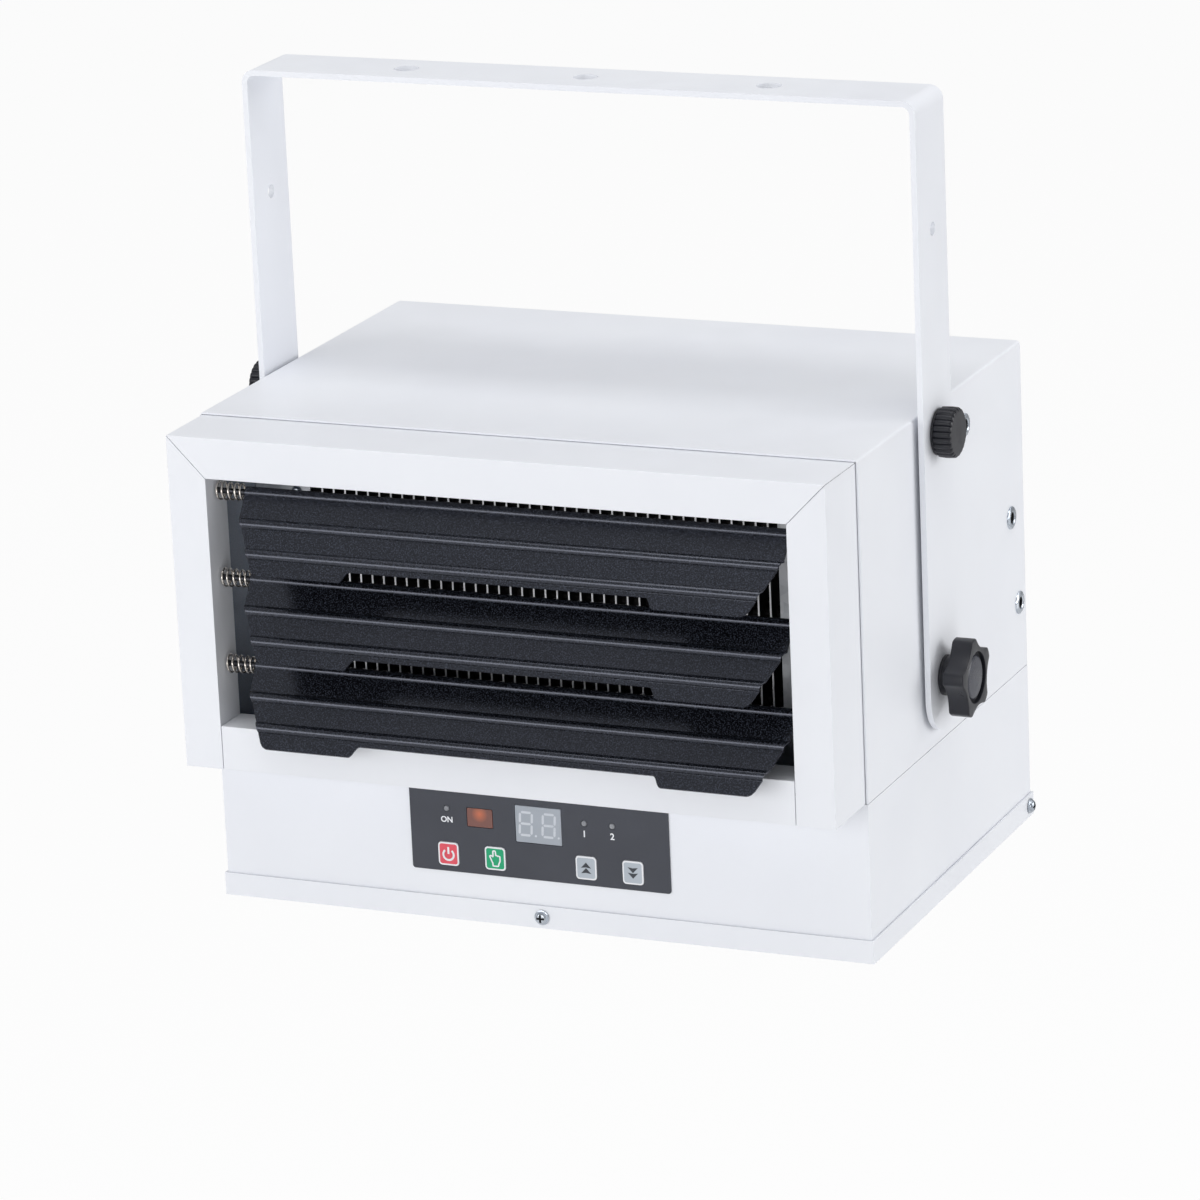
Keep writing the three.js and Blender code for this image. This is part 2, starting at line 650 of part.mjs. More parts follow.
// Front and sides of the electronics compartment, with the control panel's window and screw holes.
function lowerHousing() {
  const inside = halfWidth - SHEET;
  const plan = [
    [-halfWidth, CASING_DEPTH],
    [-halfWidth, FRAME_DEPTH],
    [halfWidth, FRAME_DEPTH],
    [halfWidth, CASING_DEPTH],
    [inside, CASING_DEPTH],
    [inside, FRAME_DEPTH + SHEET],
    [-inside, FRAME_DEPTH + SHEET],
    [-inside, CASING_DEPTH],
  ];
  const walls = prism(plan, "z", trayFloor + FIT, frameBottom - FIT);
  const panelHalf = PANEL.width / 2 - PANEL.rim;
  const opening = block(
    [-panelHalf, panelHalf],
    [FRAME_DEPTH - 1, FRAME_DEPTH + SHEET + 1],
    [panelBottom + PANEL.rim, panelTop - PANEL.rim],
  );
  return cut(walls, opening, ...baseScrewBores());
}

// Shallow tray whose lips stand outside the lower housing.
function baseTray() {
  const [front, back] = [FRAME_DEPTH - FIT - SHEET, CASING_DEPTH + FIT + SHEET];
  const body = block([-trayOuter, trayOuter], [front, back], [casingBottom, casingBottom + TRAY_LIP]);
  const pocket = block(
    [-trayOuter + SHEET, trayOuter - SHEET],
    [front + SHEET, back - SHEET],
    [trayFloor, casingBottom + TRAY_LIP + 1],
  );
  return cut(body, pocket, ...baseScrewBores());
}

// Pan head screw with a washer flange. Its seat is x = 0 and its shank runs to -X.
function baseScrew() {
  const [head, shank] = [SCREW_HEAD / 2, SCREW_SHANK / 2];
  const profile = [
    [0, -8],
    [shank, -8],
    [shank, FIT],
    [head, FIT],
    [head, FIT + 0.8],
    [head * 0.6, FIT + 2.2],
    [0, FIT + 2.6],
  ];
  return turned(profile, "x", 10);
}

function addCasing() {
  add(heater, "upper_cover", upperCover(), WHITE_PAINT);
  add(heater, "rear_panel", rearPanel(), WHITE_PAINT);
  add(heater, "frame_top_rail", frameTopRail(), WHITE_PAINT);
  add(heater, "frame_left_stile", frameStile(-1), WHITE_PAINT);
  add(heater, "frame_right_stile", frameStile(1), WHITE_PAINT);
  add(heater, "frame_bottom_rail", frameBottomRail(), WHITE_PAINT);
  add(heater, "lower_housing", lowerHousing(), WHITE_PAINT);
  add(heater, "base_tray", baseTray(), WHITE_PAINT);
  const screw = baseScrew();
  const screwY = CASING_DEPTH - SCREW_INSET;
  const frontFace = FRAME_DEPTH - FIT - SHEET;
  add(heater, "front_base_screw", screw, ZINC, [0, frontFace, screwZ], [0, 0, -Math.PI / 2]);
  add(heater, "right_base_screw", screw, ZINC, [trayOuter, screwY, screwZ]);
  add(heater, "left_base_screw", screw, ZINC, [-trayOuter, screwY, screwZ], [0, 0, Math.PI]);
}

// ---------------------------------------------------------------- louvres

// Middle line of the blade's section in (y, z): a curl round the rod, then flats and forward beads.
function louvreMiddle() {
  const curlSteps = 10;
  const [openEnd, tangent] = [radians(-75), radians(215)];
  const flat = curlMiddle * Math.cos(tangent);
  const line = Array.from({ length: curlSteps + 1 }, (_, i) => {
    const angle = openEnd + ((tangent - openEnd) * i) / curlSteps;
    return [curlMiddle * Math.cos(angle), curlMiddle * Math.sin(angle)];
  });
  for (const centre of BEAD_CENTRES) {
    line.push([flat, -centre + BEAD_WIDTH / 2]);
    line.push([flat - BEAD_HEIGHT, -centre + BEAD_CREST / 2]);
    line.push([flat - BEAD_HEIGHT, -centre - BEAD_CREST / 2]);
    line.push([flat, -centre - BEAD_WIDTH / 2]);
  }
  line.push([flat, -LOUVRE_CHORD]);
  return line;
}

// Front outline of the blade in (x, z): tapered ends and two deeper tabs with rounded steps.
function louvreOutline() {
  const [top, bottom] = [louvreLength / 2, louvreLength / 2 - LOUVRE_TAPER];
  const step = LOUVRE_CHORD - LOUVRE_MIDDLE;
  const right = [
    [top, 5],
    [top, -LOUVRE_TAPER_START],
    [bottom + 1.4, -LOUVRE_CHORD + 3],
    [bottom, -LOUVRE_CHORD + 0.9],
    [bottom - 2.5, -LOUVRE_CHORD],
    [LOUVRE_TAB_INNER + step * 0.8, -LOUVRE_CHORD],
    [LOUVRE_TAB_INNER + step * 0.45, -LOUVRE_CHORD + step * 0.15],
    [LOUVRE_TAB_INNER - step * 0.45, -LOUVRE_CHORD + step * 0.85],
    [LOUVRE_TAB_INNER - step * 0.8, -LOUVRE_MIDDLE],
  ];
  const left = right.map(([x, z]) => [-x, z]).reverse();
  return [...right, ...left];
}

function louvreBlade() {
  const sheet = prism(strip(louvreMiddle(), LOUVRE_SHEET), "x", -louvreLength / 2, louvreLength / 2);
  return sheet.intersect(prism(louvreOutline(), "y", -10, 10));
}

// Points of the conical spring's wire along +X, with a straight stub of one wire at each end.
function springPath() {
  const length = louvreLeft + openingHalf - 2 * FIT;
  const steps = SPRING_TURNS * 8;
  const stub = SPRING_WIRE;
  const coil = Array.from({ length: steps + 1 }, (_, i) => {
    const along = i / steps;
    const angle = along * SPRING_TURNS * 2 * Math.PI;
    const radius = THREE.MathUtils.lerp(...SPRING_RADII, along);
    const x = stub + along * (length - 2 * stub);
    return new THREE.Vector3(x, radius * Math.cos(angle), radius * Math.sin(angle));
  });
  const first = coil[0].clone().setX(0);
  const last = coil.at(-1).clone().setX(length);
  return [first, ...coil, last];
}

// Least distance between turns of the wire, from its surface.
function springGap(path) {
  let least = Infinity;
  for (let i = 0; i < path.length; i++) {
    for (let j = i + 5; j < path.length; j++) least = Math.min(least, path[i].distanceTo(path[j]));
  }
  return least - SPRING_WIRE;
}

// A tube of five sides along a path. The rings lean half way between the runs that they join.
function wireTube(path, radius) {
  const rings = path.map((point, i) => {
    const before = path[Math.max(i - 1, 0)];
    const after = path[Math.min(i + 1, path.length - 1)];
    const tangent = after.clone().sub(before).normalize();
    const outward = new THREE.Vector3(0, point.y, point.z);
    outward.addScaledVector(tangent, -outward.dot(tangent)).normalize();
    const across = tangent.clone().cross(outward);
    const corner = ([u, v]) => point.clone().addScaledVector(outward, u).addScaledVector(across, v);
    return disc(radius, 0, 0, 5).map(corner);
  });
  return loft(rings);
}

function addLouvres() {
  const [blade, path] = [louvreBlade(), springPath()];
  const spring = wireTube(path, SPRING_WIRE / 2);
  console.log("least gap between spring turns, mm:", springGap(path).toFixed(2));
  const rodReach = openingHalf + SHEET + 1.5;
  const rod = bar(ROD_DIAMETER / 2, "x", -rodReach, rodReach, 0, 0, 8);
  const middle = (louvreLeft + louvreRight) / 2;
  for (let i = 0; i < LOUVRE_COUNT; i++) {
    const n = i + 1;
    const hingeLine = [LOUVRE_BACK, louvreZ(i)];
    add(heater, `louvre_${n}`, blade, DARK_PAINT, [middle, ...hingeLine], [-radians(LOUVRE_OPEN), 0, 0]);
    add(heater, `louvre_rod_${n}`, rod, STEEL, [0, ...hingeLine]);
    add(heater, `louvre_spring_${n}`, spring, STEEL, [-openingHalf + FIT, ...hingeLine]);
  }
}

// ---------------------------------------------------------------- heating elements and heat chamber

// Straight sheathed tube through a row of upright fins, with a terminal pin at each end.
function finnedElement() {
  const tubeHalf = flangeAt + SHEET + TUBE_REACH;
  const tube = bar(TUBE_RADIUS, "x", -tubeHalf, tubeHalf, 0, 0, 6);
  const pins = bar(PIN_RADIUS, "x", -tubeHalf - PIN_LENGTH, tubeHalf + PIN_LENGTH, 0, 0, 6);
  const fins = Array.from({ length: finCount }, (_, i) => {
    const x = (i - (finCount - 1) / 2) * FIN_PITCH;
    return block(
      [x - FIN_THICK / 2, x + FIN_THICK / 2],
      [-FIN_DEPTH / 2, FIN_DEPTH / 2],
      [-finHeight / 2, finHeight / 2],
    );
  });
  return union(tube, pins, ...fins);
}

const elementY = ELEMENT_FRONT + FIN_DEPTH / 2;
const elementZ = (i) => louvreZ(i) - ELEMENT_DROP;

// Plated sheet with the outlet window, folded back at both sides to hold the tubes.
function elementFrame() {
  const half = chamberHalf - FIT;
  const [low, high] = [chamberBottom + FIT, chamberTop - FIT];
  const face = ELEMENT_FRONT - SHEET;
  const plate = block([-half, half], [face - SHEET, face], [low, high]);
  const opening = block(
    [-windowHalf, windowHalf],
    [face - SHEET - 1, face + 1],
    [low + WINDOW_MARGIN, high - WINDOW_MARGIN],
  );
  const flanges = [-1, 1].map((sign) =>
    block(
      [sign * flangeAt, sign * (flangeAt + SHEET)].sort((a, b) => a - b),
      [face - SHEET, face + FLANGE_DEPTH],
      [low + WINDOW_MARGIN / 2, high - WINDOW_MARGIN / 2],
    ),
  );
  const bores = Array.from({ length: LOUVRE_COUNT }, (_, i) =>
    bar(TUBE_RADIUS + FIT, "x", -flangeAt - SHEET - 1, flangeAt + SHEET + 1, elementY, elementZ(i), 12),
  );
  return cut(union(plate.subtract(opening), ...flanges), ...bores);
}

// Duct round the elements, closed at the back by a shroud plate with the fan's collar.
function heatChamber() {
  const outer = chamberHalf + SHEET;
  const duct = cut(
    block([-outer, outer], [DUCT_START, chamberEnd], [chamberBottom - SHEET, chamberTop + SHEET]),
    block([-chamberHalf, chamberHalf], [DUCT_START - 1, chamberEnd + 1], [chamberBottom, chamberTop]),
  );
  const half = coverInside - FIT;
  const throat = FAN_RADIUS + FAN_TIP_GAP;
  const plate = block([-half, half], [chamberEnd - SHEET, chamberEnd], [frameBottom, -(SHEET + FIT)]);
  const collar = bar(throat + SHEET, "y", chamberEnd - SHEET, chamberEnd + SHROUD_COLLAR, 0, fanZ, 32);
  const hole = bar(throat, "y", chamberEnd - SHEET - 1, chamberEnd + SHROUD_COLLAR + 1, 0, fanZ, 32);
  return cut(union(duct, plate, collar), hole);
}

// Snap-action cut-out on the duct's roof: mounting plate, body and two blade terminals.
function thermalCutout() {
  const roof = chamberTop + SHEET + FIT;
  const plate = block([-14, 14], [-7, 7], [roof, roof + 1]);
  const body = bar(7, "z", roof, roof + 5, 0, 0, 12);
  const terminals = block([-9, 9], [-2, 2], [roof + 3, roof + 4]);
  return union(plate, body, terminals);
}

function addHeating() {
  const element = finnedElement();
  for (let i = 0; i < LOUVRE_COUNT; i++) {
    add(heater, `finned_element_${i + 1}`, element, STEEL, [0, elementY, elementZ(i)]);
  }
  add(heater, "element_frame", elementFrame(), ZINC);
  add(heater, "heat_chamber", heatChamber(), DARK_PAINT);
  add(heater, "thermal_cutout", thermalCutout(), BLACK_PLASTIC, [60, 120, 0]);
}

// ---------------------------------------------------------------- fan

// One twisted blade from the hub to the tip, its pitch easing towards the tip.
function fanBlade(turn) {
  const stations = 4;
  const [inner, tip] = [FAN_HUB[0] - 1, FAN_RADIUS];
  const rings = Array.from({ length: stations }, (_, k) => {
    const along = k / (stations - 1);
    const radius = THREE.MathUtils.lerp(inner, tip, along);
    const chord = THREE.MathUtils.lerp(24, 44, Math.sin((along * Math.PI) / 2));
    const pitch = radians(THREE.MathUtils.lerp(38, 20, along));
    const corners = [
      [-0.5, -0.5],
      [0, -0.5],
      [0.5, -0.5],
      [0.5, 0.5],
      [0, 0.5],
      [-0.5, 0.5],
    ];
    return corners.map(([c, t]) => {
      const camber = 0.08 * chord * (1 - 4 * c * c);
      const [u, v] = [c * chord, t * BLADE_THICK + camber];
      const around = u * Math.cos(pitch) - v * Math.sin(pitch);
      const axial = u * Math.sin(pitch) + v * Math.cos(pitch);
      const angle = turn + around / radius;
      return new THREE.Vector3(radius * Math.cos(angle), axial, radius * Math.sin(angle));
    });
  });
  return loft(rings.reverse());
}

// Cup-shaped hub with its bore, and the blades. Its middle is the origin, its axis is Y.
function fanRotor() {
  const [radius, length] = FAN_HUB;
  const bore = SHAFT_RADIUS + FIT;
  const profile = [
    [0, -length / 2],
    [radius * 0.8, -length / 2],
    [radius, -length / 2 + 3],
    [radius, length / 2],
    [radius - 2, length / 2],
    [radius - 2, -length / 2 + 5],
    [bore + 3, -length / 2 + 5],
    [bore + 3, length / 2],
    [bore, length / 2],
    [bore, -length / 2 + 4],
    [0, -length / 2 + 4],
  ];
  const hub = turned(profile, "y", 20);
  const blades = Array.from({ length: FAN_BLADES }, (_, i) => fanBlade((i / FAN_BLADES) * 2 * Math.PI));
  return union(hub, ...blades);
}

// Motor can with end bells and a shaft that reaches into the rotor.
function fanMotor() {
  const [radius, length] = MOTOR;
  const shaftEnd = fanStart + 4 + FIT - motorStart;
  const profile = [
    [0, shaftEnd],
    [SHAFT_RADIUS, shaftEnd],
    [SHAFT_RADIUS, -3],
    [9, -3],
    [9, 0],
    [radius - 5, 0],
    [radius, 5],
    [radius, length - 5],
    [radius - 5, length],
    [0, length],
  ];
  return turned(profile, "y", 18);
}

// Strap across the inlet that carries the motor, its feet on the rear panel.
function motorBracket() {
  const front = motorStart + MOTOR[1] + FIT;
  const back = CASING_DEPTH - SHEET - FIT;
  const middle = [
    [-strapHalf - STRAP_FOOT, back - STRAP_THICK / 2],
    [-strapHalf, back - STRAP_THICK / 2],
    [-strapHalf, front + STRAP_THICK / 2],
    [strapHalf, front + STRAP_THICK / 2],
    [strapHalf, back - STRAP_THICK / 2],
    [strapHalf + STRAP_FOOT, back - STRAP_THICK / 2],
  ];
  return prism(strip(middle, STRAP_THICK), "z", fanZ - STRAP_WIDTH / 2, fanZ + STRAP_WIDTH / 2);
}

// Welded wire guard over the inlet: rings on straight spokes, with four screw tabs.
function fanGuard() {
  const start = CASING_DEPTH + FIT;
  const ringStart = start + GUARD_STEP;
  const rings = guardRings.map((radius) =>
    cut(
      bar(radius + GUARD_WIRE / 2, "y", ringStart, ringStart + GUARD_WIRE, 0, 0, 24),
      bar(radius - GUARD_WIRE / 2, "y", start, start + 5, 0, 0, 24),
    ),
  );
  const reach = guardRings[0] + GUARD_REACH;
  const spokes = Array.from({ length: GUARD_SPOKES }, (_, i) => {
    const angle = (i / GUARD_SPOKES) * Math.PI + Math.PI / 8;
    const [c, s] = [Math.cos(angle), Math.sin(angle)];
    const half = GUARD_WIRE / 2;
    const outline = [
      [reach * c - half * s, reach * s + half * c],
      [-reach * c - half * s, -reach * s + half * c],
      [-reach * c + half * s, -reach * s - half * c],
      [reach * c + half * s, reach * s - half * c],
    ];
    return prism(outline, "y", start, start + GUARD_WIRE);
  });
  const eye = bar(guardRings.at(-1) / 2, "y", start, start + GUARD_WIRE, 0, 0, 16);
  return union(...spokes, ...rings, eye);
}

function addFan() {
  add(heater, "fan_motor", fanMotor(), ZINC, [0, motorStart, fanZ]);
  add(heater, "motor_bracket", motorBracket(), ZINC);
  add(heater, "fan_rotor", fanRotor(), DARK_PAINT, [0, fanStart + FAN_HUB[1] / 2, fanZ]);
  add(heater, "fan_guard", fanGuard(), BLACK_PLASTIC, [0, 0, fanZ]);
}

// ---------------------------------------------------------------- electrical parts

// Cable gland through the rear panel: body, clamping nut outside and lock nut inside.
function cableGland() {
  const [bore, body, nut] = [GLAND.bore / 2, GLAND.body / 2, GLAND.nut / 2];
  const [inside, outside] = [-SHEET - FIT, FIT];
  const profile = [
    [bore, inside - 5],
    [nut, inside - 5],
    [nut, inside],
    [body, inside],
    [body, outside],
    [nut, outside],
    [nut, outside + 5],
    [nut - 2, outside + 6],
    [nut - 3, outside + GLAND.length - 3],
    [bore + 2, outside + GLAND.length],
    [bore, outside + GLAND.length],
    [bore, inside - 5],
  ];
  return turned(profile, "y", 10);
}

// Terminal block with a barrier at each end and between the ways.
function terminalBlock() {
  const { width, depth, height, barrier, wall, ways } = TERMINAL;
  const base = block([-width / 2, width / 2], [-depth / 2, depth / 2], [0, height]);
  const barriers = Array.from({ length: ways + 1 }, (_, i) => {
    const x = -width / 2 + wall / 2 + (i * (width - wall)) / ways;
    const y = (depth + wall) / 2;
    return block([x - wall / 2, x + wall / 2], [-y, y], [0, height + barrier]);
  });
  return union(base, ...barriers);
}

// A block centred on the Z axis that stands on z = 0.
function standing([width, depth, height]) {
  return block([-width / 2, width / 2], [-depth / 2, depth / 2], [0, height]);
}

// Open-frame power relay on a foot plate.
function powerRelay() {
  const { foot, body, coil } = RELAY;
  const reach = body[1] / 2 + foot[2];
  const winding = bar(coil, "y", -reach, reach, 0, body[2] / 2 + foot[2], 12);
  return union(standing(foot), standing(body), winding);
}

function addElectrical() {
  add(heater, "cable_gland", cableGland(), BLACK_PLASTIC, [glandPlace[0], CASING_DEPTH, glandPlace[1]]);
  const onFloor = ({ across, inset }) => [across, CASING_DEPTH - inset, trayFloor + FIT];
  add(heater, "terminal_block", terminalBlock(), BLACK_PLASTIC, onFloor(TERMINAL));
  add(heater, "power_relay", powerRelay(), GREY_PLASTIC, onFloor(RELAY));
}

// ---------------------------------------------------------------- control panel

const panelMiddle = (panelTop + panelBottom) / 2;
const panelFace = FRAME_DEPTH - PANEL.thick;

// Dark film panel on the housing's front, with openings for all that shows through it.
function controlOverlay() {
  const shape = roundedRectangle(PANEL.width, PANEL.height, PANEL.rim, 0, panelMiddle);
  const film = prism(shape, "y", panelFace, FRAME_DEPTH, 2);
  const through = (outline) => prism(outline, "y", panelFace - 1, FRAME_DEPTH + 1, 1);
  const gap = 2 * KEY_CLEARANCE;
  const keys = Object.values(KEY_PLACES).map((x) =>
    through(roundedRectangle(KEY.width + gap, KEY.height + gap, KEY.radius, x, keyZ)),
  );
  const lampHole = ([x, drop]) => through(disc(LAMP.radius + KEY_CLEARANCE, x, panelTop - drop, 10));
  const lamps = Object.values(LAMP_PLACES).map(lampHole);
  const windows = [DISPLAY, RECEIVER].map((p) =>
    through(roundedRectangle(p.width + gap, p.height + gap, 0.5, p.across, panelTop - p.drop)),
  );
  return cut(film, ...keys, ...lamps, ...windows);
}

// Key cap with a retaining lip behind the film and a stem towards its switch.
function keyCap() {
  const back = boardFront - FIT - KEY.travel - 1;
  const cap = prism(
    roundedRectangle(KEY.width, KEY.height, KEY.radius),
    "y",
    -PANEL.thick - KEY.proud,
    SHEET,
    1,
  );
  const lip = block(
    [-KEY.width / 2 - KEY.lip, KEY.width / 2 + KEY.lip],
    [FIT, FIT + 1],
    [-KEY.height / 2 - KEY.lip, KEY.height / 2 + KEY.lip],
  );
  const stem = bar(2, "y", 0, back - FRAME_DEPTH, 0, 0, 10);
  return union(cap, lip, stem);
}

// Indicator lamp: domed lens through the film, body back to the board.
function lamp() {
  const profile = [
    [0, -PANEL.thick - LAMP.proud],
    [LAMP.radius * 0.7, -PANEL.thick - LAMP.proud * 0.7],
    [LAMP.radius, -PANEL.thick],
    [LAMP.radius, boardFront - FIT - FRAME_DEPTH],
    [0, boardFront - FIT - FRAME_DEPTH],
  ];
  return turned(profile, "y", 10);
}

// Circuit board on corner posts behind the housing's front, with a switch behind each key.
function controlBoard() {
  const half = PANEL.width / 2 - PANEL.rim + BOARD.margin;
  const [low, high] = [panelBottom - BOARD.lap, panelTop + BOARD.lap];
  const board = block([-half, half], [boardFront, boardFront + BOARD.thick], [low, high]);
  const corners = [-1, 1].flatMap((sign) =>
    [low + BOARD.post, high - BOARD.post].map((z) => [sign * (half - BOARD.post), z]),
  );
  const posts = corners.map(([x, z]) =>
    bar(BOARD.post, "y", FRAME_DEPTH + SHEET + FIT, boardFront + 1, x, z, 8),
  );
  const switches = Object.values(KEY_PLACES).map((x) =>
    block(
      [x - SWITCH.half, x + SWITCH.half],
      [boardFront - SWITCH.proud, boardFront + BOARD.thick / 2],
      [keyZ - SWITCH.half, keyZ + SWITCH.half],
    ),
  );
  const transformer = block(
    [TRANSFORMER.from, TRANSFORMER.to],
    [boardFront + BOARD.thick / 2, boardFront + TRANSFORMER.depth],
    [panelBottom + TRANSFORMER.inset, panelTop - TRANSFORMER.inset],
  );
  return union(board, transformer, ...posts, ...switches);
}

function addControls() {
  add(heater, "control_overlay", controlOverlay(), PANEL_FILM);
  const depth = boardFront - FIT - FRAME_DEPTH;
  const insert = (p) => prism(roundedRectangle(p.width, p.height, 0.5), "y", -PANEL.thick, depth, 1);
  add(heater, "display_module", insert(DISPLAY), GREY_PLASTIC, [DISPLAY.across, FRAME_DEPTH, displayZ]);
  const receiverPlace = [RECEIVER.across, FRAME_DEPTH, receiverZ];
  add(heater, "receiver_window", insert(RECEIVER), RED_WINDOW, receiverPlace);
  const finishes = { power_button: RED_PLASTIC, mode_button: GREEN_PLASTIC };
  const [key, lens] = [keyCap(), lamp()];
  for (const [name, x] of Object.entries(KEY_PLACES)) {
    add(heater, name, key, finishes[name] ?? GREY_PLASTIC, [x, FRAME_DEPTH, keyZ]);
  }
  for (const [name, [x, drop]] of Object.entries(LAMP_PLACES)) {
    add(heater, name, lens, GREY_PLASTIC, [x, FRAME_DEPTH, panelTop - drop]);
  }
  add(heater, "control_board", controlBoard(), BOARD_GREEN);
}

// ---------------------------------------------------------------- the whole heater

addBracketAndPivots();
addCasing();
addLouvres();
addHeating();
addFan();
addElectrical();
addControls();

export default root;
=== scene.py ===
"""Finish of a ceiling mounted fan heater: painted sheet metal, textured louvres, knobs and control panel.

Lengths are in metres. X runs to the heater's right, Y to its back and Z up. The origin is the middle of the
ceiling bracket's top face. Shapes are arrays of rings: a profile carried along an axis, a path or an arc.
"""

import json
from math import acos, asin, cos, degrees, pi, radians, sin

import bmesh
import bpy
import numpy as np
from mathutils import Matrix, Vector


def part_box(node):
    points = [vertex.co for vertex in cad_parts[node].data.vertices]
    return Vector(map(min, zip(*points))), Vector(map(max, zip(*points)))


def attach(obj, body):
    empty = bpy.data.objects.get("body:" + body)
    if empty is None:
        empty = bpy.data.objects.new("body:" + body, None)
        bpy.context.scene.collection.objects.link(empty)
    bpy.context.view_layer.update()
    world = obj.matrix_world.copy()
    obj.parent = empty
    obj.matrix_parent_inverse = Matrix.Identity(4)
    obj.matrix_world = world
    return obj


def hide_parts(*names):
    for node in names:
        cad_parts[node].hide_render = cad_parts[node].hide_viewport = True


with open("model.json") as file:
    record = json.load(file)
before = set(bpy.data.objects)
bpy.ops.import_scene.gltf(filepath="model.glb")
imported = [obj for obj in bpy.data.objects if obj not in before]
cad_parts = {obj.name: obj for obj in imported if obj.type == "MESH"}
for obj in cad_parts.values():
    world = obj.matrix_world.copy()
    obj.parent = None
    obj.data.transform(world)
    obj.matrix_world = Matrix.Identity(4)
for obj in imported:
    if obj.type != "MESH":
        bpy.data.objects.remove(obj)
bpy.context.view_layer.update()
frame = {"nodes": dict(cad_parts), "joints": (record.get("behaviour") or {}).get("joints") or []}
MM = 0.001
scene = bpy.context.scene

# ---------------------------------------------------------------- sizes read from the frame

BRACKET_LOW, BRACKET_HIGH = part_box("ceiling_bracket")
TRAY_LOW, TRAY_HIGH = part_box("base_tray")
HALF_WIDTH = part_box("upper_cover")[1].x
FILM_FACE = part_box("control_overlay")[0].y
ARM_FACE = BRACKET_HIGH.x
JOINTS = {joint["name"]: joint for joint in frame["joints"]}
PIVOT_Z = JOINTS["tilt"]["pos_m"][2]


def middle(node):
    """The middle of a node's box."""
    low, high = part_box(node)
    return (low + high) / 2


# ---------------------------------------------------------------- sizes of the finish

BAR_THICK = 3 * MM
BAR_BEND = 7 * MM
BAR_EDGE = 0.5 * MM
CEILING_HOLES = {"radius": 6.5 * MM, "pitch": 99 * MM}
ARM_HOLE = {"radius": 3.5 * MM, "drop": 68 * MM}
SHEET_EDGE = 0.35 * MM

LOUVRE_OPEN = radians(38)
LOUVRE_HALF = 146.5 * MM
LOUVRE_BOTTOM_HALF = 132.25 * MM
LOUVRE_TAPER_START = 14 * MM
LOUVRE_CHORD = 44.6 * MM
LOUVRE_MIDDLE = 38.7 * MM
LOUVRE_TAB = (77.5 * MM, 84.5 * MM)
LOUVRE_SHEET = 0.8 * MM
LOUVRE_SET = 1.8 * MM
CURL_RADIUS = 2.7 * MM
BEAD_CENTRES = (17.3 * MM, 33.2 * MM)
BEAD_HALF = 2.5 * MM
BEAD_HEIGHT = 1.9 * MM
ROD_RADIUS = 1.5 * MM
SPRING_WIRE = 0.55 * MM
SPRING_RADII = (4.5 * MM, 3.9 * MM)
SPRING_TURNS = 5
FRAME_SCREW = 135 * MM

FIN_COUNT = 39
FIN_PITCH = 6.4 * MM
FIN_THICK = 0.45 * MM
FIN_ROLL = (0.8 * MM, 0.6 * MM)  # thickness and depth of a fin's front edge
TUBE_RADIUS = 4 * MM
TUBE_HALF = 138 * MM
PIN_RADIUS = 1.5 * MM

FAN_BLADES = 5
FAN_RADIUS = 70 * MM
HUB_RADIUS = 22 * MM
BLADE_THICK = 1.4 * MM
GUARD_RINGS = np.array([20, 35, 50, 65, 80]) * MM
GUARD_WIRE = 1.1 * MM
GUARD_SPOKES = 3
SPOKE_REACH = 84 * MM

# ---------------------------------------------------------------- materials


def shade(red, green, blue):
    """Eight-bit display values as a scene colour."""
    values = np.array([red, green, blue]) / 255
    linear = np.where(values <= 0.04045, values / 12.92, ((values + 0.055) / 1.055) ** 2.4)
    return (*linear.tolist(), 1.0)


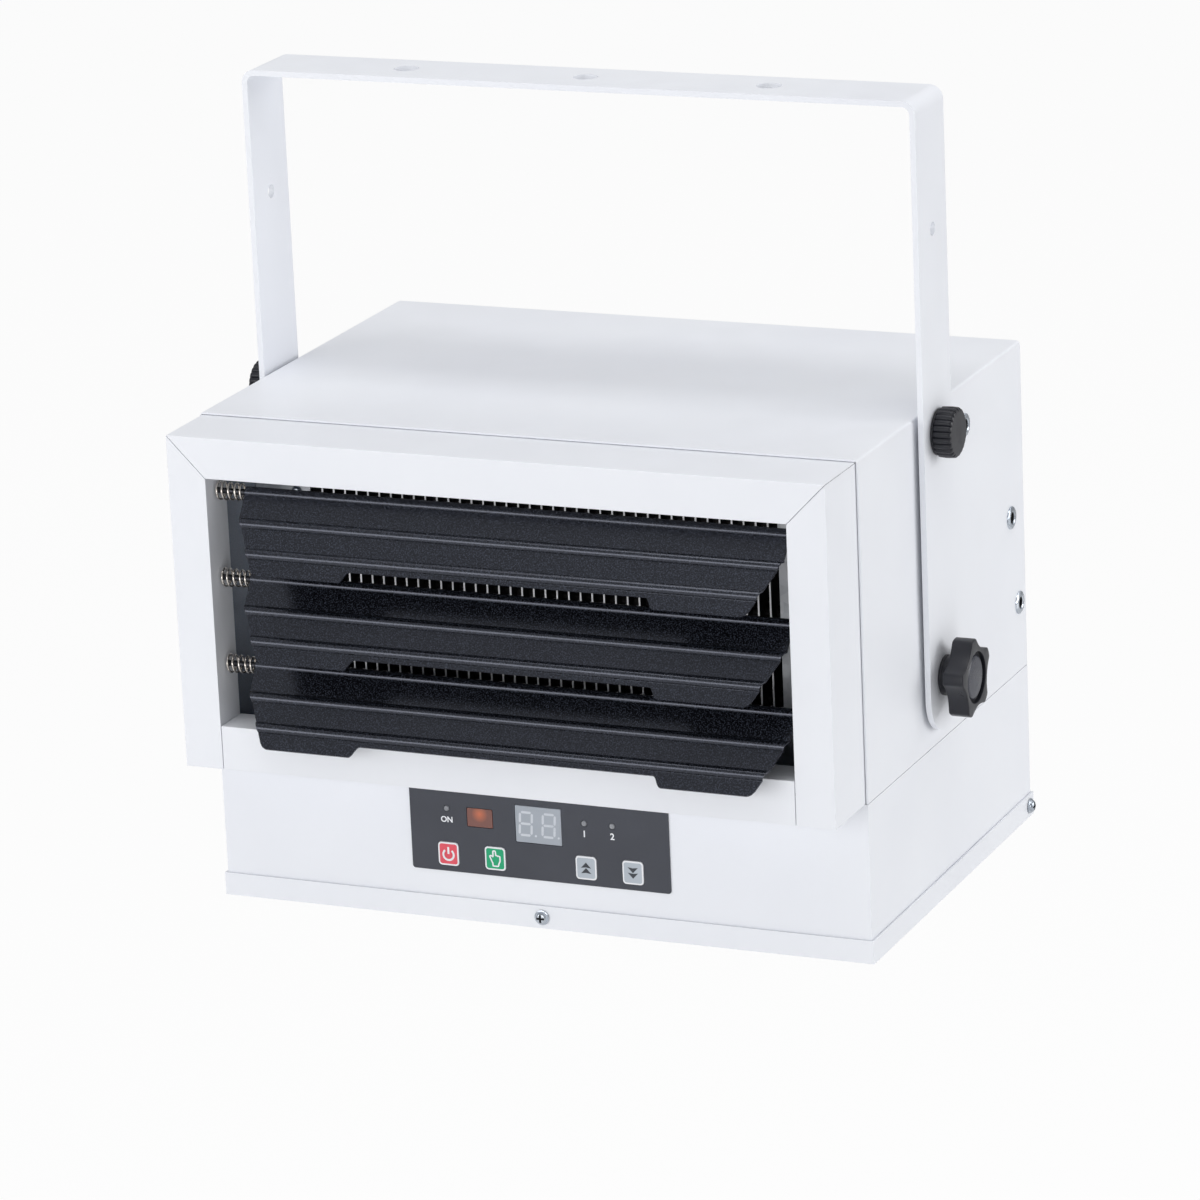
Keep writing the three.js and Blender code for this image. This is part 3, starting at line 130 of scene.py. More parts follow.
class Finish:
    """A material on object coordinates, with one surface shader and the textures that vary it."""

    def __init__(self, name, colour, roughness, metallic=0.0, specular=0.5, coat=0.0):
        self.material = bpy.data.materials.new(name)
        self.material.use_nodes = True
        self.tree = self.material.node_tree
        self.surface = self.tree.nodes["Principled BSDF"]
        self.surface.inputs["Base Color"].default_value = colour
        self.surface.inputs["Roughness"].default_value = roughness
        self.surface.inputs["Metallic"].default_value = metallic
        self.surface.inputs["Specular IOR Level"].default_value = specular
        self.surface.inputs["Coat Weight"].default_value = coat
        self.place = self.tree.nodes.new("ShaderNodeTexCoord").outputs["Object"]

    def node(self, kind, **settings):
        """A new node of the material with its settings."""
        made = self.tree.nodes.new(kind)
        for key, value in settings.items():
            setattr(made, key, value)
        return made

    def join(self, source, target):
        """Links an output to an input."""
        self.tree.links.new(source, target)

    def stretched(self, x, y, z):
        """Object coordinates stretched along the axes, for brushed or drawn metal."""
        mapping = self.node("ShaderNodeMapping")
        mapping.inputs["Scale"].default_value = (x, y, z)
        self.join(self.place, mapping.inputs["Vector"])
        return mapping.outputs["Vector"]

    def noise(self, scale, detail=2.0, space=None):
        """Soft random clouds."""
        made = self.node("ShaderNodeTexNoise")
        made.inputs["Scale"].default_value = scale
        made.inputs["Detail"].default_value = detail
        self.join(space or self.place, made.inputs["Vector"])
        return made.outputs["Fac"]

    def cells(self, scale, space=None):
        """A random value for each cell of a broken pattern."""
        made = self.node("ShaderNodeTexVoronoi")
        made.inputs["Scale"].default_value = scale
        self.join(space or self.place, made.inputs["Vector"])
        return made.outputs["Color"]

    def ranged(self, value, low, high, start=0.3, end=0.7):
        """Maps start to end onto low to high, and holds it there."""
        made = self.node("ShaderNodeMapRange")
        for key, number in zip(("From Min", "From Max", "To Min", "To Max"), (start, end, low, high)):
            made.inputs[key].default_value = number
        self.join(value, made.inputs["Value"])
        return made.outputs["Result"]

    def blend(self, factor, first, second):
        """A colour between two colours."""
        made = self.node("ShaderNodeMix", data_type="RGBA")
        made.inputs[6].default_value = first
        made.inputs[7].default_value = second
        self.join(factor, made.inputs[0])
        return made.outputs[2]

    def colour(self, value):
        """Drives the base colour."""
        self.join(value, self.surface.inputs["Base Color"])

    def roughness(self, value):
        """Drives the roughness."""
        self.join(value, self.surface.inputs["Roughness"])

    def bump(self, height, distance, strength=1.0):
        """Adds relief of the given depth on top of any relief already there."""
        made = self.node("ShaderNodeBump")
        made.inputs["Distance"].default_value = distance
        made.inputs["Strength"].default_value = strength
        self.join(height, made.inputs["Height"])
        normal = self.surface.inputs["Normal"]
        if normal.is_linked:
            self.join(normal.links[0].from_socket, made.inputs["Normal"])
        self.join(made.outputs["Normal"], normal)


def powder_coat(name, light, dark):
    """White powder coat: a fine orange peel, faint cloudy tint and slightly uneven gloss."""
    finish = Finish(name, light, 0.42)
    cloud = finish.ranged(finish.noise(9, 3), 0, 1)
    finish.colour(finish.blend(cloud, light, dark))
    finish.roughness(finish.ranged(finish.noise(60, 4), 0.36, 0.5))
    finish.bump(finish.noise(700, 2), 0.02 * MM, 0.5)
    finish.bump(finish.noise(160, 1), 0.02 * MM, 0.25)
    return finish.material


def textured_coat(name, light, dark, grain=1400, depth=0.05 * MM):
    """Fine-texture coat: sandy relief with a cool sparkle, and small colour grains."""
    finish = Finish(name, dark, 0.3, specular=0.75)
    finish.surface.inputs["Specular Tint"].default_value = (0.8, 0.84, 1, 1)
    grains = finish.ranged(finish.noise(grain, 3), 0, 1, 0.46, 0.7)
    finish.colour(finish.blend(grains, dark, light))
    finish.roughness(finish.ranged(finish.noise(grain * 0.6, 2), 0.16, 0.26))
    finish.bump(finish.noise(grain, 2), depth, 0.8)
    return finish.material


def moulded(name, light, dark, roughness=0.42, grain=900):
    """Moulded plastic: fine spark-eroded grain and slow changes of gloss."""
    finish = Finish(name, light, roughness, specular=0.4)
    finish.colour(finish.blend(finish.ranged(finish.noise(45, 3), 0, 1), light, dark))
    finish.roughness(finish.ranged(finish.noise(120, 3), roughness - 0.06, roughness + 0.08))
    finish.bump(finish.noise(grain, 2), 0.02 * MM, 0.4)
    return finish.material


def plated(name, light, dark, roughness=0.28, cells=90):
    """Zinc plating: cloudy crystals that change its tint and gloss from patch to patch."""
    finish = Finish(name, light, roughness, metallic=1.0)
    patches = finish.ranged(finish.cells(cells), 0, 1, 0.0, 1.0)
    finish.colour(finish.blend(patches, dark, light))
    finish.roughness(finish.ranged(finish.noise(cells * 3, 4), roughness - 0.08, roughness + 0.14))
    finish.bump(finish.noise(600, 2), 0.01 * MM, 0.3)
    return finish.material


def drawn_steel(name, light, dark, roughness=0.2, along=(0.05, 1, 1)):
    """Bright drawn steel: long scratches along the drawing direction."""
    finish = Finish(name, light, roughness, metallic=1.0)
    lines = finish.noise(900, 3, finish.stretched(*along))
    finish.colour(finish.blend(finish.ranged(lines, 0, 1), dark, light))
    finish.roughness(finish.ranged(lines, roughness - 0.06, roughness + 0.12))
    finish.bump(lines, 0.01 * MM, 0.3)
    return finish.material


def printed_film(name, light, dark):
    """Screen-printed polyester film: a satin face with a faint woven grain."""
    finish = Finish(name, light, 0.38, coat=0.15)
    finish.surface.inputs["Coat Roughness"].default_value = 0.3
    finish.colour(finish.blend(finish.ranged(finish.noise(30, 4), 0, 1), light, dark))
    finish.roughness(finish.ranged(finish.noise(400, 2), 0.32, 0.44))
    finish.bump(finish.noise(1800, 1), 0.01 * MM, 0.3)
    return finish.material


def gradient_window(name, edge, heart, centre, reach):
    """Tinted window with a brighter spot where a part shows through it."""
    finish = Finish(name, edge, 0.12, coat=0.5)
    offset = finish.node("ShaderNodeVectorMath", operation="DISTANCE")
    offset.inputs[1].default_value = centre
    finish.join(finish.place, offset.inputs[0])
    nearness = finish.ranged(offset.outputs["Value"], 1, 0, 0, reach)
    finish.colour(finish.blend(nearness, edge, heart))
    finish.bump(finish.noise(500, 2), 0.01 * MM, 0.2)
    return finish.material


def circuit_board(name):
    """Solder mask over copper tracks: lighter lines from banded noise."""
    finish = Finish(name, shade(40, 92, 58), 0.4)
    tracks = finish.ranged(finish.noise(160, 0), 0, 1, 0.48, 0.5)
    finish.colour(finish.blend(tracks, shade(34, 80, 50), shade(52, 112, 66)))
    finish.bump(tracks, 0.03 * MM, 0.5)
    return finish.material


WHITE = powder_coat("white_powder_coat", shade(239, 241, 246), shade(235, 237, 243))
LOUVRE_COAT = textured_coat("anthracite_texture_coat", shade(54, 58, 68), shade(2, 2, 4), 1500, 0.04 * MM)
DUCT_COAT = textured_coat("duct_slate_coat", shade(142, 150, 164), shade(130, 138, 151), 1300, 0.012 * MM)
KNOB_BLACK = moulded("black_knob_plastic", shade(34, 35, 42), shade(26, 27, 34), 0.33)
INNER_BLACK = moulded("black_phenolic", shade(38, 38, 40), shade(30, 30, 32), 0.5)
CAP_GREY = moulded("dark_grey_cap", shade(60, 62, 72), shade(52, 54, 64), 0.28)
# dark grey inside bores and recesses: painted shade
BORE_PAINTED_SHADE = moulded("dark_bore", shade(42, 44, 48), shade(30, 32, 36), 0.5)
ZINC = plated("zinc_plating", shade(214, 220, 228), shade(168, 176, 186), 0.18)
GALVANISED = plated("galvanised_sheet", shade(206, 208, 212), shade(182, 185, 190), 0.36, 140)
STEEL = drawn_steel("drawn_steel_rod", shade(222, 218, 212), shade(168, 162, 156))
WIRE = drawn_steel("spring_wire", shade(246, 240, 232), shade(196, 188, 180), 0.12, (1, 1, 1))
FIN_EDGE = drawn_steel("bright_fin_edge", shade(250, 250, 252), shade(226, 226, 230), 0.34, (1, 1, 0.05))
ROD_DARK = drawn_steel("dark_louvre_rod", shade(84, 84, 88), shade(54, 54, 58), 0.3)
# near black on the fins' sides behind their bright edges: painted shade of the deep gaps between fins
FIN_PAINTED_SHADE = moulded("blackened_fin", shade(30, 30, 32), shade(22, 22, 24), 0.6)
TUBE_BLUED = drawn_steel("blued_heater_tube", shade(70, 68, 68), shade(46, 44, 45), 0.4)
GUARD_BLACK = textured_coat("guard_black_coat", shade(36, 37, 40), shade(26, 27, 30), grain=900)
FILM = printed_film("panel_film", shade(56, 59, 69), shade(50, 53, 63))
DISPLAY_FACE = printed_film("display_face", shade(166, 172, 181), shade(158, 165, 174))
SEGMENT = moulded("display_segment", shade(206, 210, 216), shade(198, 203, 210), 0.3)
PRINT_WHITE = moulded("white_print", shade(240, 241, 244), shade(232, 234, 238), 0.4)
PRINT_DARK = moulded("dark_print", shade(62, 65, 72), shade(54, 57, 64), 0.4)
KEY_RED = moulded("red_key", shade(228, 88, 103), shade(220, 80, 95), 0.36)
KEY_GREEN = moulded("green_key", shade(32, 168, 118), shade(26, 158, 110), 0.36)
KEY_GREY = moulded("grey_key", shade(183, 190, 199), shade(174, 182, 191), 0.36)
LENS = moulded("lamp_lens", shade(150, 152, 156), shade(128, 130, 136), 0.25)
BOARD = circuit_board("circuit_board")
RELAY_GREY = moulded("relay_plastic", shade(160, 164, 168), shade(148, 152, 158), 0.45)
RECEIVER = gradient_window(
    "receiver_window_red",
    shade(118, 72, 62),
    shade(196, 104, 66),
    tuple(middle("receiver_window") + Vector((0, -5 * MM, 2 * MM))),
    4.5 * MM,
)

# ---------------------------------------------------------------- rings, skins and pieces


def grid_faces(rows, columns, wrap):
    """Quads of a grid of points, whose columns may close on themselves."""
    row, column = np.mgrid[0 : rows - 1, 0 : columns if wrap else columns - 1]
    first = row * columns + column
    second = row * columns + (column + 1) % columns
    return np.stack([first, second, second + columns, first + columns], -1).reshape(-1, 4)


def skin(rings, bored=False):
    """Points and faces of a closed skin over rings of points.

    Each ring runs anticlockwise as seen from the last ring. The ends are flat caps, each with a narrow ring
    of its own inside its rim, so that its shading stays flat. A bored skin has no ends: its last ring joins
    its first.
    """
    rings = np.asarray(rings, float)
    if not bored:
        ends = rings[[0, -1]]
        inner = ends + 0.04 * (ends.mean(1, keepdims=True) - ends)
        rings = np.concatenate([inner[:1], rings, inner[1:]])
    rows, columns = rings.shape[:2]
    if bored:
        rings = np.concatenate([rings, rings[:1]])
        faces = grid_faces(rows + 1, columns, True) % (rows * columns)
        return rings[:-1].reshape(-1, 3), faces.tolist()
    faces = grid_faces(rows, columns, True).tolist()
    faces.append(list(range(columns))[::-1])
    faces.append(list(range((rows - 1) * columns, rows * columns)))
    return rings.reshape(-1, 3), faces


def sheet_skin(front, back):
    """Points and faces of a sheet given by the grids of its two sides, closed by a rim of quads."""
    rows, columns = front.shape[:2]
    count = rows * columns
    number = np.arange(count).reshape(rows, columns)
    rim = np.concatenate([number[0], number[1:, -1], number[-1, -2::-1], number[-2:0:-1, 0]])
    following = np.roll(rim, -1)
    sides = np.stack([following, rim, rim + count, following + count], -1)
    face = grid_faces(rows, columns, False)
    faces = np.concatenate([face, face[:, ::-1] + count, sides])
    return np.concatenate([front.reshape(-1, 3), back.reshape(-1, 3)]), faces.tolist()


def piece(name, body, skins, node=None, crease=32):
    """One object made of skins, each (points, faces, material).

    It rides on a body, and may replace a node of the frame.
    """
    mesh = bpy.data.meshes.new(name)
    points, faces, numbers, materials = [], [], [], []
    for skin_points, skin_faces, material in skins:
        start = sum(len(p) for p in points)
        points.append(np.asarray(skin_points, float))
        faces += [[start + corner for corner in face] for face in skin_faces]
        if material not in materials:
            materials.append(material)
        numbers += [materials.index(material)] * len(skin_faces)
    mesh.from_pydata(np.concatenate(points).tolist(), [], faces)
    for material in materials:
        mesh.materials.append(material)
    mesh.polygons.foreach_set("material_index", numbers)
    return settle(name, mesh, body, node, crease)


def settle(name, mesh, body, node=None, crease=32):
    """Puts a mesh in the scene with smooth faces and sharp creases, riding on its body."""
    smoothed(mesh, crease)
    made = bpy.data.objects.new(name, mesh)
    scene.collection.objects.link(made)
    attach(made, body)
    if node:
        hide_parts(node)
    return made


def eased(corners, reach, closed=False, steps=4):
    """A line of points with each corner rounded off.

    A corner becomes a quadratic curve from the point one reach before it to the point one reach after it.
    The reach is at most 0.45 of the shorter edge there.
    """
    corners = np.asarray(corners, float)
    before, after = np.roll(corners, 1, 0), np.roll(corners, -1, 0)
    to_before, to_after = before - corners, after - corners
    shorter = np.minimum(np.linalg.norm(to_before, axis=1), np.linalg.norm(to_after, axis=1))
    cut = np.minimum(reach, 0.45 * shorter)[:, None]
    start = corners + cut * to_before / np.maximum(np.linalg.norm(to_before, axis=1), 1e-12)[:, None]
    end = corners + cut * to_after / np.maximum(np.linalg.norm(to_after, axis=1), 1e-12)[:, None]
    t = np.linspace(0, 1, steps + 1)[None, :, None]
    curves = (1 - t) ** 2 * start[:, None] + 2 * t * (1 - t) * corners[:, None] + t**2 * end[:, None]
    if closed:
        return curves.reshape(-1, corners.shape[1])
    inner = curves[1:-1].reshape(-1, corners.shape[1])
    return np.concatenate([corners[:1], inner, corners[-1:]])


def stepped(corners, reach, steps=4):
    """Corners of (radius, place along the axis) in millimetres, each rounded off."""
    return eased(np.array(corners) * MM, reach * MM, steps=steps)


AXES = {"x": (1, 2, 0), "y": (2, 0, 1), "z": (0, 1, 2)}


def turned(profile, axis, centre, sides=48, flip=False, bored=False):
    """A profile of (radius, place along the axis) carried round the axis.

    A point is the radius times the cosine and sine of its turn on the two axes across, and its place on the
    axis itself. Flip turns the whole shape half round, so that it points the other way.
    """
    profile = np.asarray(profile, float)
    turn = np.linspace(0, 2 * pi, sides, endpoint=False)
    first, second, along = AXES[axis]
    rings = np.empty((len(profile), sides, 3))
    rings[..., first] = profile[:, :1] * np.cos(turn)
    rings[..., second] = profile[:, :1] * np.sin(turn)
    rings[..., along] = profile[:, 1:]
    if flip:
        rings[..., along] *= -1
        rings[..., first] *= -1
    return skin(rings + np.asarray(centre, float), bored)


def plate(outline, axis, low, high, rim, steps=3):
    """A flat outline given thickness along an axis, its two rims rounded off.

    Each ring is the outline moved in along its own normals by a rim's quarter circle. At the high end that is
    rim times one minus the cosine inwards and one minus the sine along, and at the low end the other way
    round.
    """
    outline = np.asarray(outline, float)
    along_edge = np.roll(outline, -1, 0) - np.roll(outline, 1, 0)
    outward = np.stack([along_edge[:, 1], -along_edge[:, 0]], -1)
    outward /= np.linalg.norm(outward, axis=1)[:, None]
    bend = np.linspace(0, pi / 2, steps + 1)
    inset = np.concatenate([rim * (1 - np.sin(bend)), rim * (1 - np.cos(bend))])
    place = np.concatenate([low + rim * (1 - np.cos(bend)), high - rim * (1 - np.sin(bend))])
    first, second, along = AXES[axis]
    rings = np.empty((len(inset), len(outline), 3))
    flat = outline[None] - inset[:, None, None] * outward[None]
    rings[..., first] = flat[..., 0]
    rings[..., second] = flat[..., 1]
    rings[..., along] = place[:, None]
    return skin(rings)


def tube(path, radius, sides=12):
    """A round wire along a path.

    The circles stand square to the path. Each starts in the direction away from the line along X through the
    path's middle.
    """
    path = np.asarray(path, float)
    tangent = np.gradient(path, axis=0)
    tangent /= np.linalg.norm(tangent, axis=1)[:, None]
    centre = path.mean(0)
    outward = path - centre
    outward[:, 0] = 0
    outward -= (outward * tangent).sum(1)[:, None] * tangent
    outward /= np.linalg.norm(outward, axis=1)[:, None]
    across = np.cross(tangent, outward)
    turn = np.linspace(0, 2 * pi, sides, endpoint=False)[None, :, None]
    rings = path[:, None] + radius * (np.cos(turn) * outward[:, None] + np.sin(turn) * across[:, None])
    return skin(rings)


def rod(start, end, radius, sides=16, rim=0.2 * MM):
    """A straight round bar between two points, with rounded ends."""
    start, end = np.asarray(start, float), np.asarray(end, float)
    length = np.linalg.norm(end - start)
    direction = (end - start) / length
    helper = np.array([0, 0, 1.0]) if abs(direction[2]) < 0.9 else np.array([0, 1.0, 0])
    first = np.cross(helper, direction)
    first /= np.linalg.norm(first)
    second = np.cross(direction, first)
    profile = eased([(radius - rim, 0), (radius, rim), (radius, length - rim), (radius - rim, length)], rim)
    turn = np.linspace(0, 2 * pi, sides, endpoint=False)[None, :, None]
    ring = profile[:, :1, None] * (np.cos(turn) * first + np.sin(turn) * second)
    return skin(start + profile[:, 1:, None] * direction + ring)


def coloured(shape, material):
    """A skin with its material."""
    points, faces = shape
    return points, faces, material


def settled_modifiers(made):
    """Bakes an object's modifiers into its mesh."""
    graph = bpy.context.evaluated_depsgraph_get()
    baked = bpy.data.meshes.new_from_object(made.evaluated_get(graph))
    made.modifiers.clear()
    old = made.data
    made.data = baked
    bpy.data.meshes.remove(old)


def bored(made, shapes, edge, inside, within=None, crease=32):
    """Cuts shapes out of a piece, keeps what is within another and rounds the edges that they leave.

    The cut faces take the inside material.
    """
    cutters = []
    for points, faces in [within, *shapes] if within else shapes:
        mesh = bpy.data.meshes.new("cutter")
        mesh.from_pydata(np.asarray(points).tolist(), [], faces)
        mesh.materials.append(inside)
        cutter = bpy.data.objects.new("cutter", mesh)
        scene.collection.objects.link(cutter)
        cutters.append(cutter)
        modifier = made.modifiers.new("cut", "BOOLEAN")
        modifier.object = cutter
        modifier.solver = "EXACT"
        modifier.material_mode = "TRANSFER"
        modifier.operation = "INTERSECT" if within and len(cutters) == 1 else "DIFFERENCE"
    settled_modifiers(made)
    for cutter in cutters:
        bpy.data.objects.remove(cutter)
    if edge:
        rounded(made, edge, 40)
    else:
        smoothed(made.data, crease)


def smoothed(mesh, crease):
    """Smooth shading with sharp creases above an angle."""
    mesh.polygons.foreach_set("use_smooth", np.ones(len(mesh.polygons), bool))
    mesh.set_sharp_from_angle(angle=radians(crease))


def rounded(made, width, angle):
    """Rounds an object's edges above an angle, with the shading of its flat faces left flat."""
    made.data.polygons.foreach_set("use_smooth", np.ones(len(made.data.polygons), bool))
    bevel = made.modifiers.new("rounded_edges", "BEVEL")
    bevel.width = width
    bevel.segments = 2
    bevel.limit_method = "ANGLE"
    bevel.angle_limit = radians(angle)
    weighted = made.modifiers.new("flat_faces", "WEIGHTED_NORMAL")
    weighted.weight = 100
    settled_modifiers(made)


def eased_copy(node, body, material, edge=SHEET_EDGE, angle=25):
    """A copy of a frame node with its doubled points merged, its flat faces joined and its edges rounded."""
    mesh = frame["nodes"][node].data.copy()
    work = bmesh.new()
    work.from_mesh(mesh)
    bmesh.ops.remove_doubles(work, verts=work.verts, dist=1e-6)
    bmesh.ops.dissolve_limit(work, angle_limit=radians(0.5), verts=work.verts, edges=work.edges)
    work.to_mesh(mesh)
    work.free()
    mesh.materials.clear()
    mesh.materials.append(material)
    made = settle(f"{node}_finish", mesh, body, node, crease=180)
    rounded(made, edge, angle)
    return made


def rounded_rectangle(width, height, radius, across=0.0, up=0.0, steps=5):
    """Outline of a rectangle with quarter circles at its corners, anticlockwise."""
    turn = np.linspace(0, pi / 2, steps + 1)
    arcs = []
    for corner, (sx, sy) in enumerate([(1, 1), (-1, 1), (-1, -1), (1, -1)]):
        angle = turn + corner * pi / 2
        x = across + sx * (width / 2 - radius) + radius * np.cos(angle)
        y = up + sy * (height / 2 - radius) + radius * np.sin(angle)
        arcs.append(np.stack([x, y], -1))
    return np.concatenate(arcs)


# ---------------------------------------------------------------- ceiling bracket


def bracket_fold():
    """Outline of the folded bar in (z, x), as seen along Y.

    The outer line runs up and over, and the inner one back.
    """
    corner = ARM_FACE - BAR_BEND
    turn = np.linspace(0, pi / 2, 15)
    sides = []
    for radius, half in ((BAR_BEND, ARM_FACE), (BAR_BEND - BAR_THICK, ARM_FACE - BAR_THICK)):
        right = np.stack([corner + radius * np.cos(turn), radius * np.sin(turn) - BAR_BEND], -1)
        right = np.concatenate([[(half, BRACKET_LOW.z)], right])
        left = right[::-1] * np.array([-1, 1])
        sides.append(np.concatenate([right, left]))
    outline = np.concatenate([sides[0], sides[1][::-1]])
    return outline[::-1, ::-1]


def bracket_side():
    """Outline of an arm in (y, z): straight sides and a half circle at the foot."""
    half = BRACKET_HIGH.y
    turn = np.linspace(pi, 2 * pi, 41)
    foot = np.stack([half * np.cos(turn), BRACKET_LOW.z + half + half * np.sin(turn)], -1)
    return np.concatenate([foot, [(half, 5 * MM), (-half, 5 * MM)]])


def pushed(outline, axis, low, high):
    """An outline given thickness along an axis, with sharp rims."""
    outline = np.asarray(outline, float)
    first, second, along = AXES[axis]
    rings = np.empty((2, len(outline), 3))
    rings[..., first] = outline[:, 0]
    rings[..., second] = outline[:, 1]
    rings[..., along] = np.array([[low], [high]])
    rows = grid_faces(2, len(outline), True).tolist()
    count = len(outline)
    caps = [list(range(count))[::-1], list(range(count, 2 * count))]
    return rings.reshape(-1, 3), rows + caps


def make_bracket():
    """The folded bar with its ceiling holes, and three holes in each arm."""
    half = BRACKET_HIGH.y
    made = piece(
        "ceiling_bracket_finish",
        "bracket",
        [coloured(pushed(bracket_fold(), "y", -half, half), WHITE)],
        "ceiling_bracket",
    )
    holes = []
    for number in (-1, 0, 1):
        radius = CEILING_HOLES["radius"]
        profile = [(radius, -10 * MM), (radius, 5 * MM)]
        holes.append(turned(profile, "z", (number * CEILING_HOLES["pitch"], 0, 0)))
    arm_holes = [
        (ARM_HOLE["radius"], -ARM_HOLE["drop"]),
        (3.3 * MM, middle("right_lock_knob").z),
        (4.3 * MM, PIVOT_Z),
    ]
    for radius, height in arm_holes:
        for side in (-1, 1):
            profile = [(radius, -10 * MM), (radius, 10 * MM)]
            holes.append(turned(profile, "x", (side * (ARM_FACE - BAR_THICK / 2), 0, height)))
    reach = ARM_FACE + 5 * MM
    bored(made, holes, BAR_EDGE, WHITE, pushed(bracket_side(), "x", -reach, reach))


make_bracket()

# ---------------------------------------------------------------- casing

for casing_node in (
    "upper_cover",
    "rear_panel",
    "frame_top_rail",
    "frame_left_stile",
    "frame_right_stile",
    "frame_bottom_rail",
    "lower_housing",
    "base_tray",
):
    eased_copy(casing_node, "heater", WHITE)

# ---------------------------------------------------------------- louvres, rods and springs


def louvre_section():
    """Middle line of the blade in (y, z): a roll round the rod, then a straight run with two rounded beads.

    A bead is an arc over its chord. Its radius is half the sum of two lengths: the half chord squared over
    the height, and the height.
    """
    last = 360 - degrees(acos(-LOUVRE_SET / CURL_RADIUS))
    arc = np.radians(np.linspace(-75, last, 28))
    curl = CURL_RADIUS * np.stack([np.cos(arc), np.sin(arc)], -1)
    radius = (BEAD_HALF**2 / BEAD_HEIGHT + BEAD_HEIGHT) / 2
    lean = asin(BEAD_HALF / radius)
    turn = np.linspace(-lean, lean, 13)
    runs = [curl[-1:]]
    for centre in BEAD_CENTRES:
        out = -LOUVRE_SET + (radius - BEAD_HEIGHT) - radius * np.cos(turn)
        runs.append(np.stack([out, -centre - radius * np.sin(turn)], -1))
    runs.append([(-LOUVRE_SET, -36.6 * MM)])
    run = eased(np.concatenate(runs), 0.4 * MM, steps=2)
    return np.concatenate([curl[:-1], run])


def louvre_edge(across):
    """How far the blade's lower edge is from the hinge.

    It is the middle's length, plus the tabs' extra length times a smooth step, less a quarter circle at the
    outer corners.
    """
    reach = np.abs(across)
    step = np.clip((reach - LOUVRE_TAB[0]) / (LOUVRE_TAB[1] - LOUVRE_TAB[0]), 0, 1)
    edge = LOUVRE_MIDDLE + (LOUVRE_CHORD - LOUVRE_MIDDLE) * step**2 * (3 - 2 * step)
    corner = 3 * MM
    into = np.clip(reach - (LOUVRE_BOTTOM_HALF - corner), 0, corner)
    return edge - (corner - np.sqrt(np.maximum(corner**2 - into**2, 0)))


def louvre_sheet(pivot):
    """The blade's two sides, turned open about its hinge.

    A point's place across is its column's share of the blade's half length at that distance from the hinge:
    full down to the taper, then a straight fall. Below the last bead the rows spread evenly down to the
    lower edge.
    """
    section = louvre_section()
    thick = LOUVRE_SHEET / 2
    share = np.concatenate(
        [
            np.linspace(-1, -0.97, 8),
            np.linspace(-0.9, -0.68, 4),
            np.linspace(-0.645, -0.58, 12),
            np.linspace(-0.5, 0.5, 7),
            np.linspace(0.58, 0.645, 12),
            np.linspace(0.68, 0.9, 4),
            np.linspace(0.97, 1, 8),
        ]
    )
    lower = np.linspace(0, 1, 7)[1:, None]
    edge = louvre_edge(share * LOUVRE_BOTTOM_HALF)[None, :]
    start = section[-1, 1]
    tail = start + lower * (-edge - start)
    rows = len(section) + len(lower)
    y = np.empty((rows, len(share)))
    z = np.empty_like(y)
    y[: len(section)] = section[:, :1]
    y[len(section) :] = section[-1, 0]
    z[: len(section)] = section[:, 1:]
    z[len(section) :] = tail
    along = np.clip((-z - LOUVRE_TAPER_START) / (LOUVRE_CHORD - LOUVRE_TAPER_START), 0, 1)
    x = share * (LOUVRE_HALF + (LOUVRE_BOTTOM_HALF - LOUVRE_HALF) * along)
    tangent = np.gradient(np.stack([y, z], -1), axis=0)
    tangent /= np.linalg.norm(tangent, axis=-1, keepdims=True)
    sides = []
    for sign in (1, -1):
        side_y = y - sign * tangent[..., 1] * thick
        side_z = z + sign * tangent[..., 0] * thick
        turned_y = side_y * cos(LOUVRE_OPEN) + side_z * sin(LOUVRE_OPEN)
        turned_z = -side_y * sin(LOUVRE_OPEN) + side_z * cos(LOUVRE_OPEN)
        sides.append(np.stack([x + pivot[0], turned_y + pivot[1], turned_z + pivot[2]], -1))
    return sides


def spring_path(low, high, line):
    """A conical helix: its radius and turn run evenly, while its place along X runs slower at both ends."""
    along = np.linspace(0, 1, SPRING_TURNS * 28)
    squeezed = along - 0.035 * np.sin(2 * pi * along)
    turn = along * SPRING_TURNS * 2 * pi
    radius = SPRING_RADII[0] + (SPRING_RADII[1] - SPRING_RADII[0]) * along
    x = low + SPRING_WIRE + squeezed * (high - low - 2 * SPRING_WIRE)
    return np.stack([x, line[0] + radius * np.cos(turn), line[1] + radius * np.sin(turn)], -1)


def make_louvres():
    """The three blades, each with its rod and its spring."""
    for number, body in enumerate(("louvre_top", "louvre_middle", "louvre_bottom"), 1):
        pivot = JOINTS[f"{body}_swing"]["pos_m"]
        line = (pivot[1], pivot[2])
        blade = coloured(sheet_skin(*louvre_sheet(pivot)), LOUVRE_COAT)
        piece(f"louvre_{number}_finish", body, [blade], f"louvre_{number}", crease=50)

        node = f"louvre_rod_{number}"
        low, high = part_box(node)
        shaft = rod((low.x, *line), (high.x, *line), ROD_RADIUS, 20)
        piece(f"rod_{number}_finish", "heater", [coloured(shaft, ROD_DARK)], node)

        node = f"louvre_spring_{number}"
        low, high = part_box(node)
        coil = tube(spring_path(low.x, high.x, line), SPRING_WIRE)
        piece(f"spring_{number}_finish", "heater", [coloured(coil, WIRE)], node)


make_louvres()

# ---------------------------------------------------------------- knobs, inserts and screws

STAR = {"radius": 20.5 * MM, "away": 37 * MM, "hollow": 21.2 * MM, "turn": radians(-12), "lobes": 5}


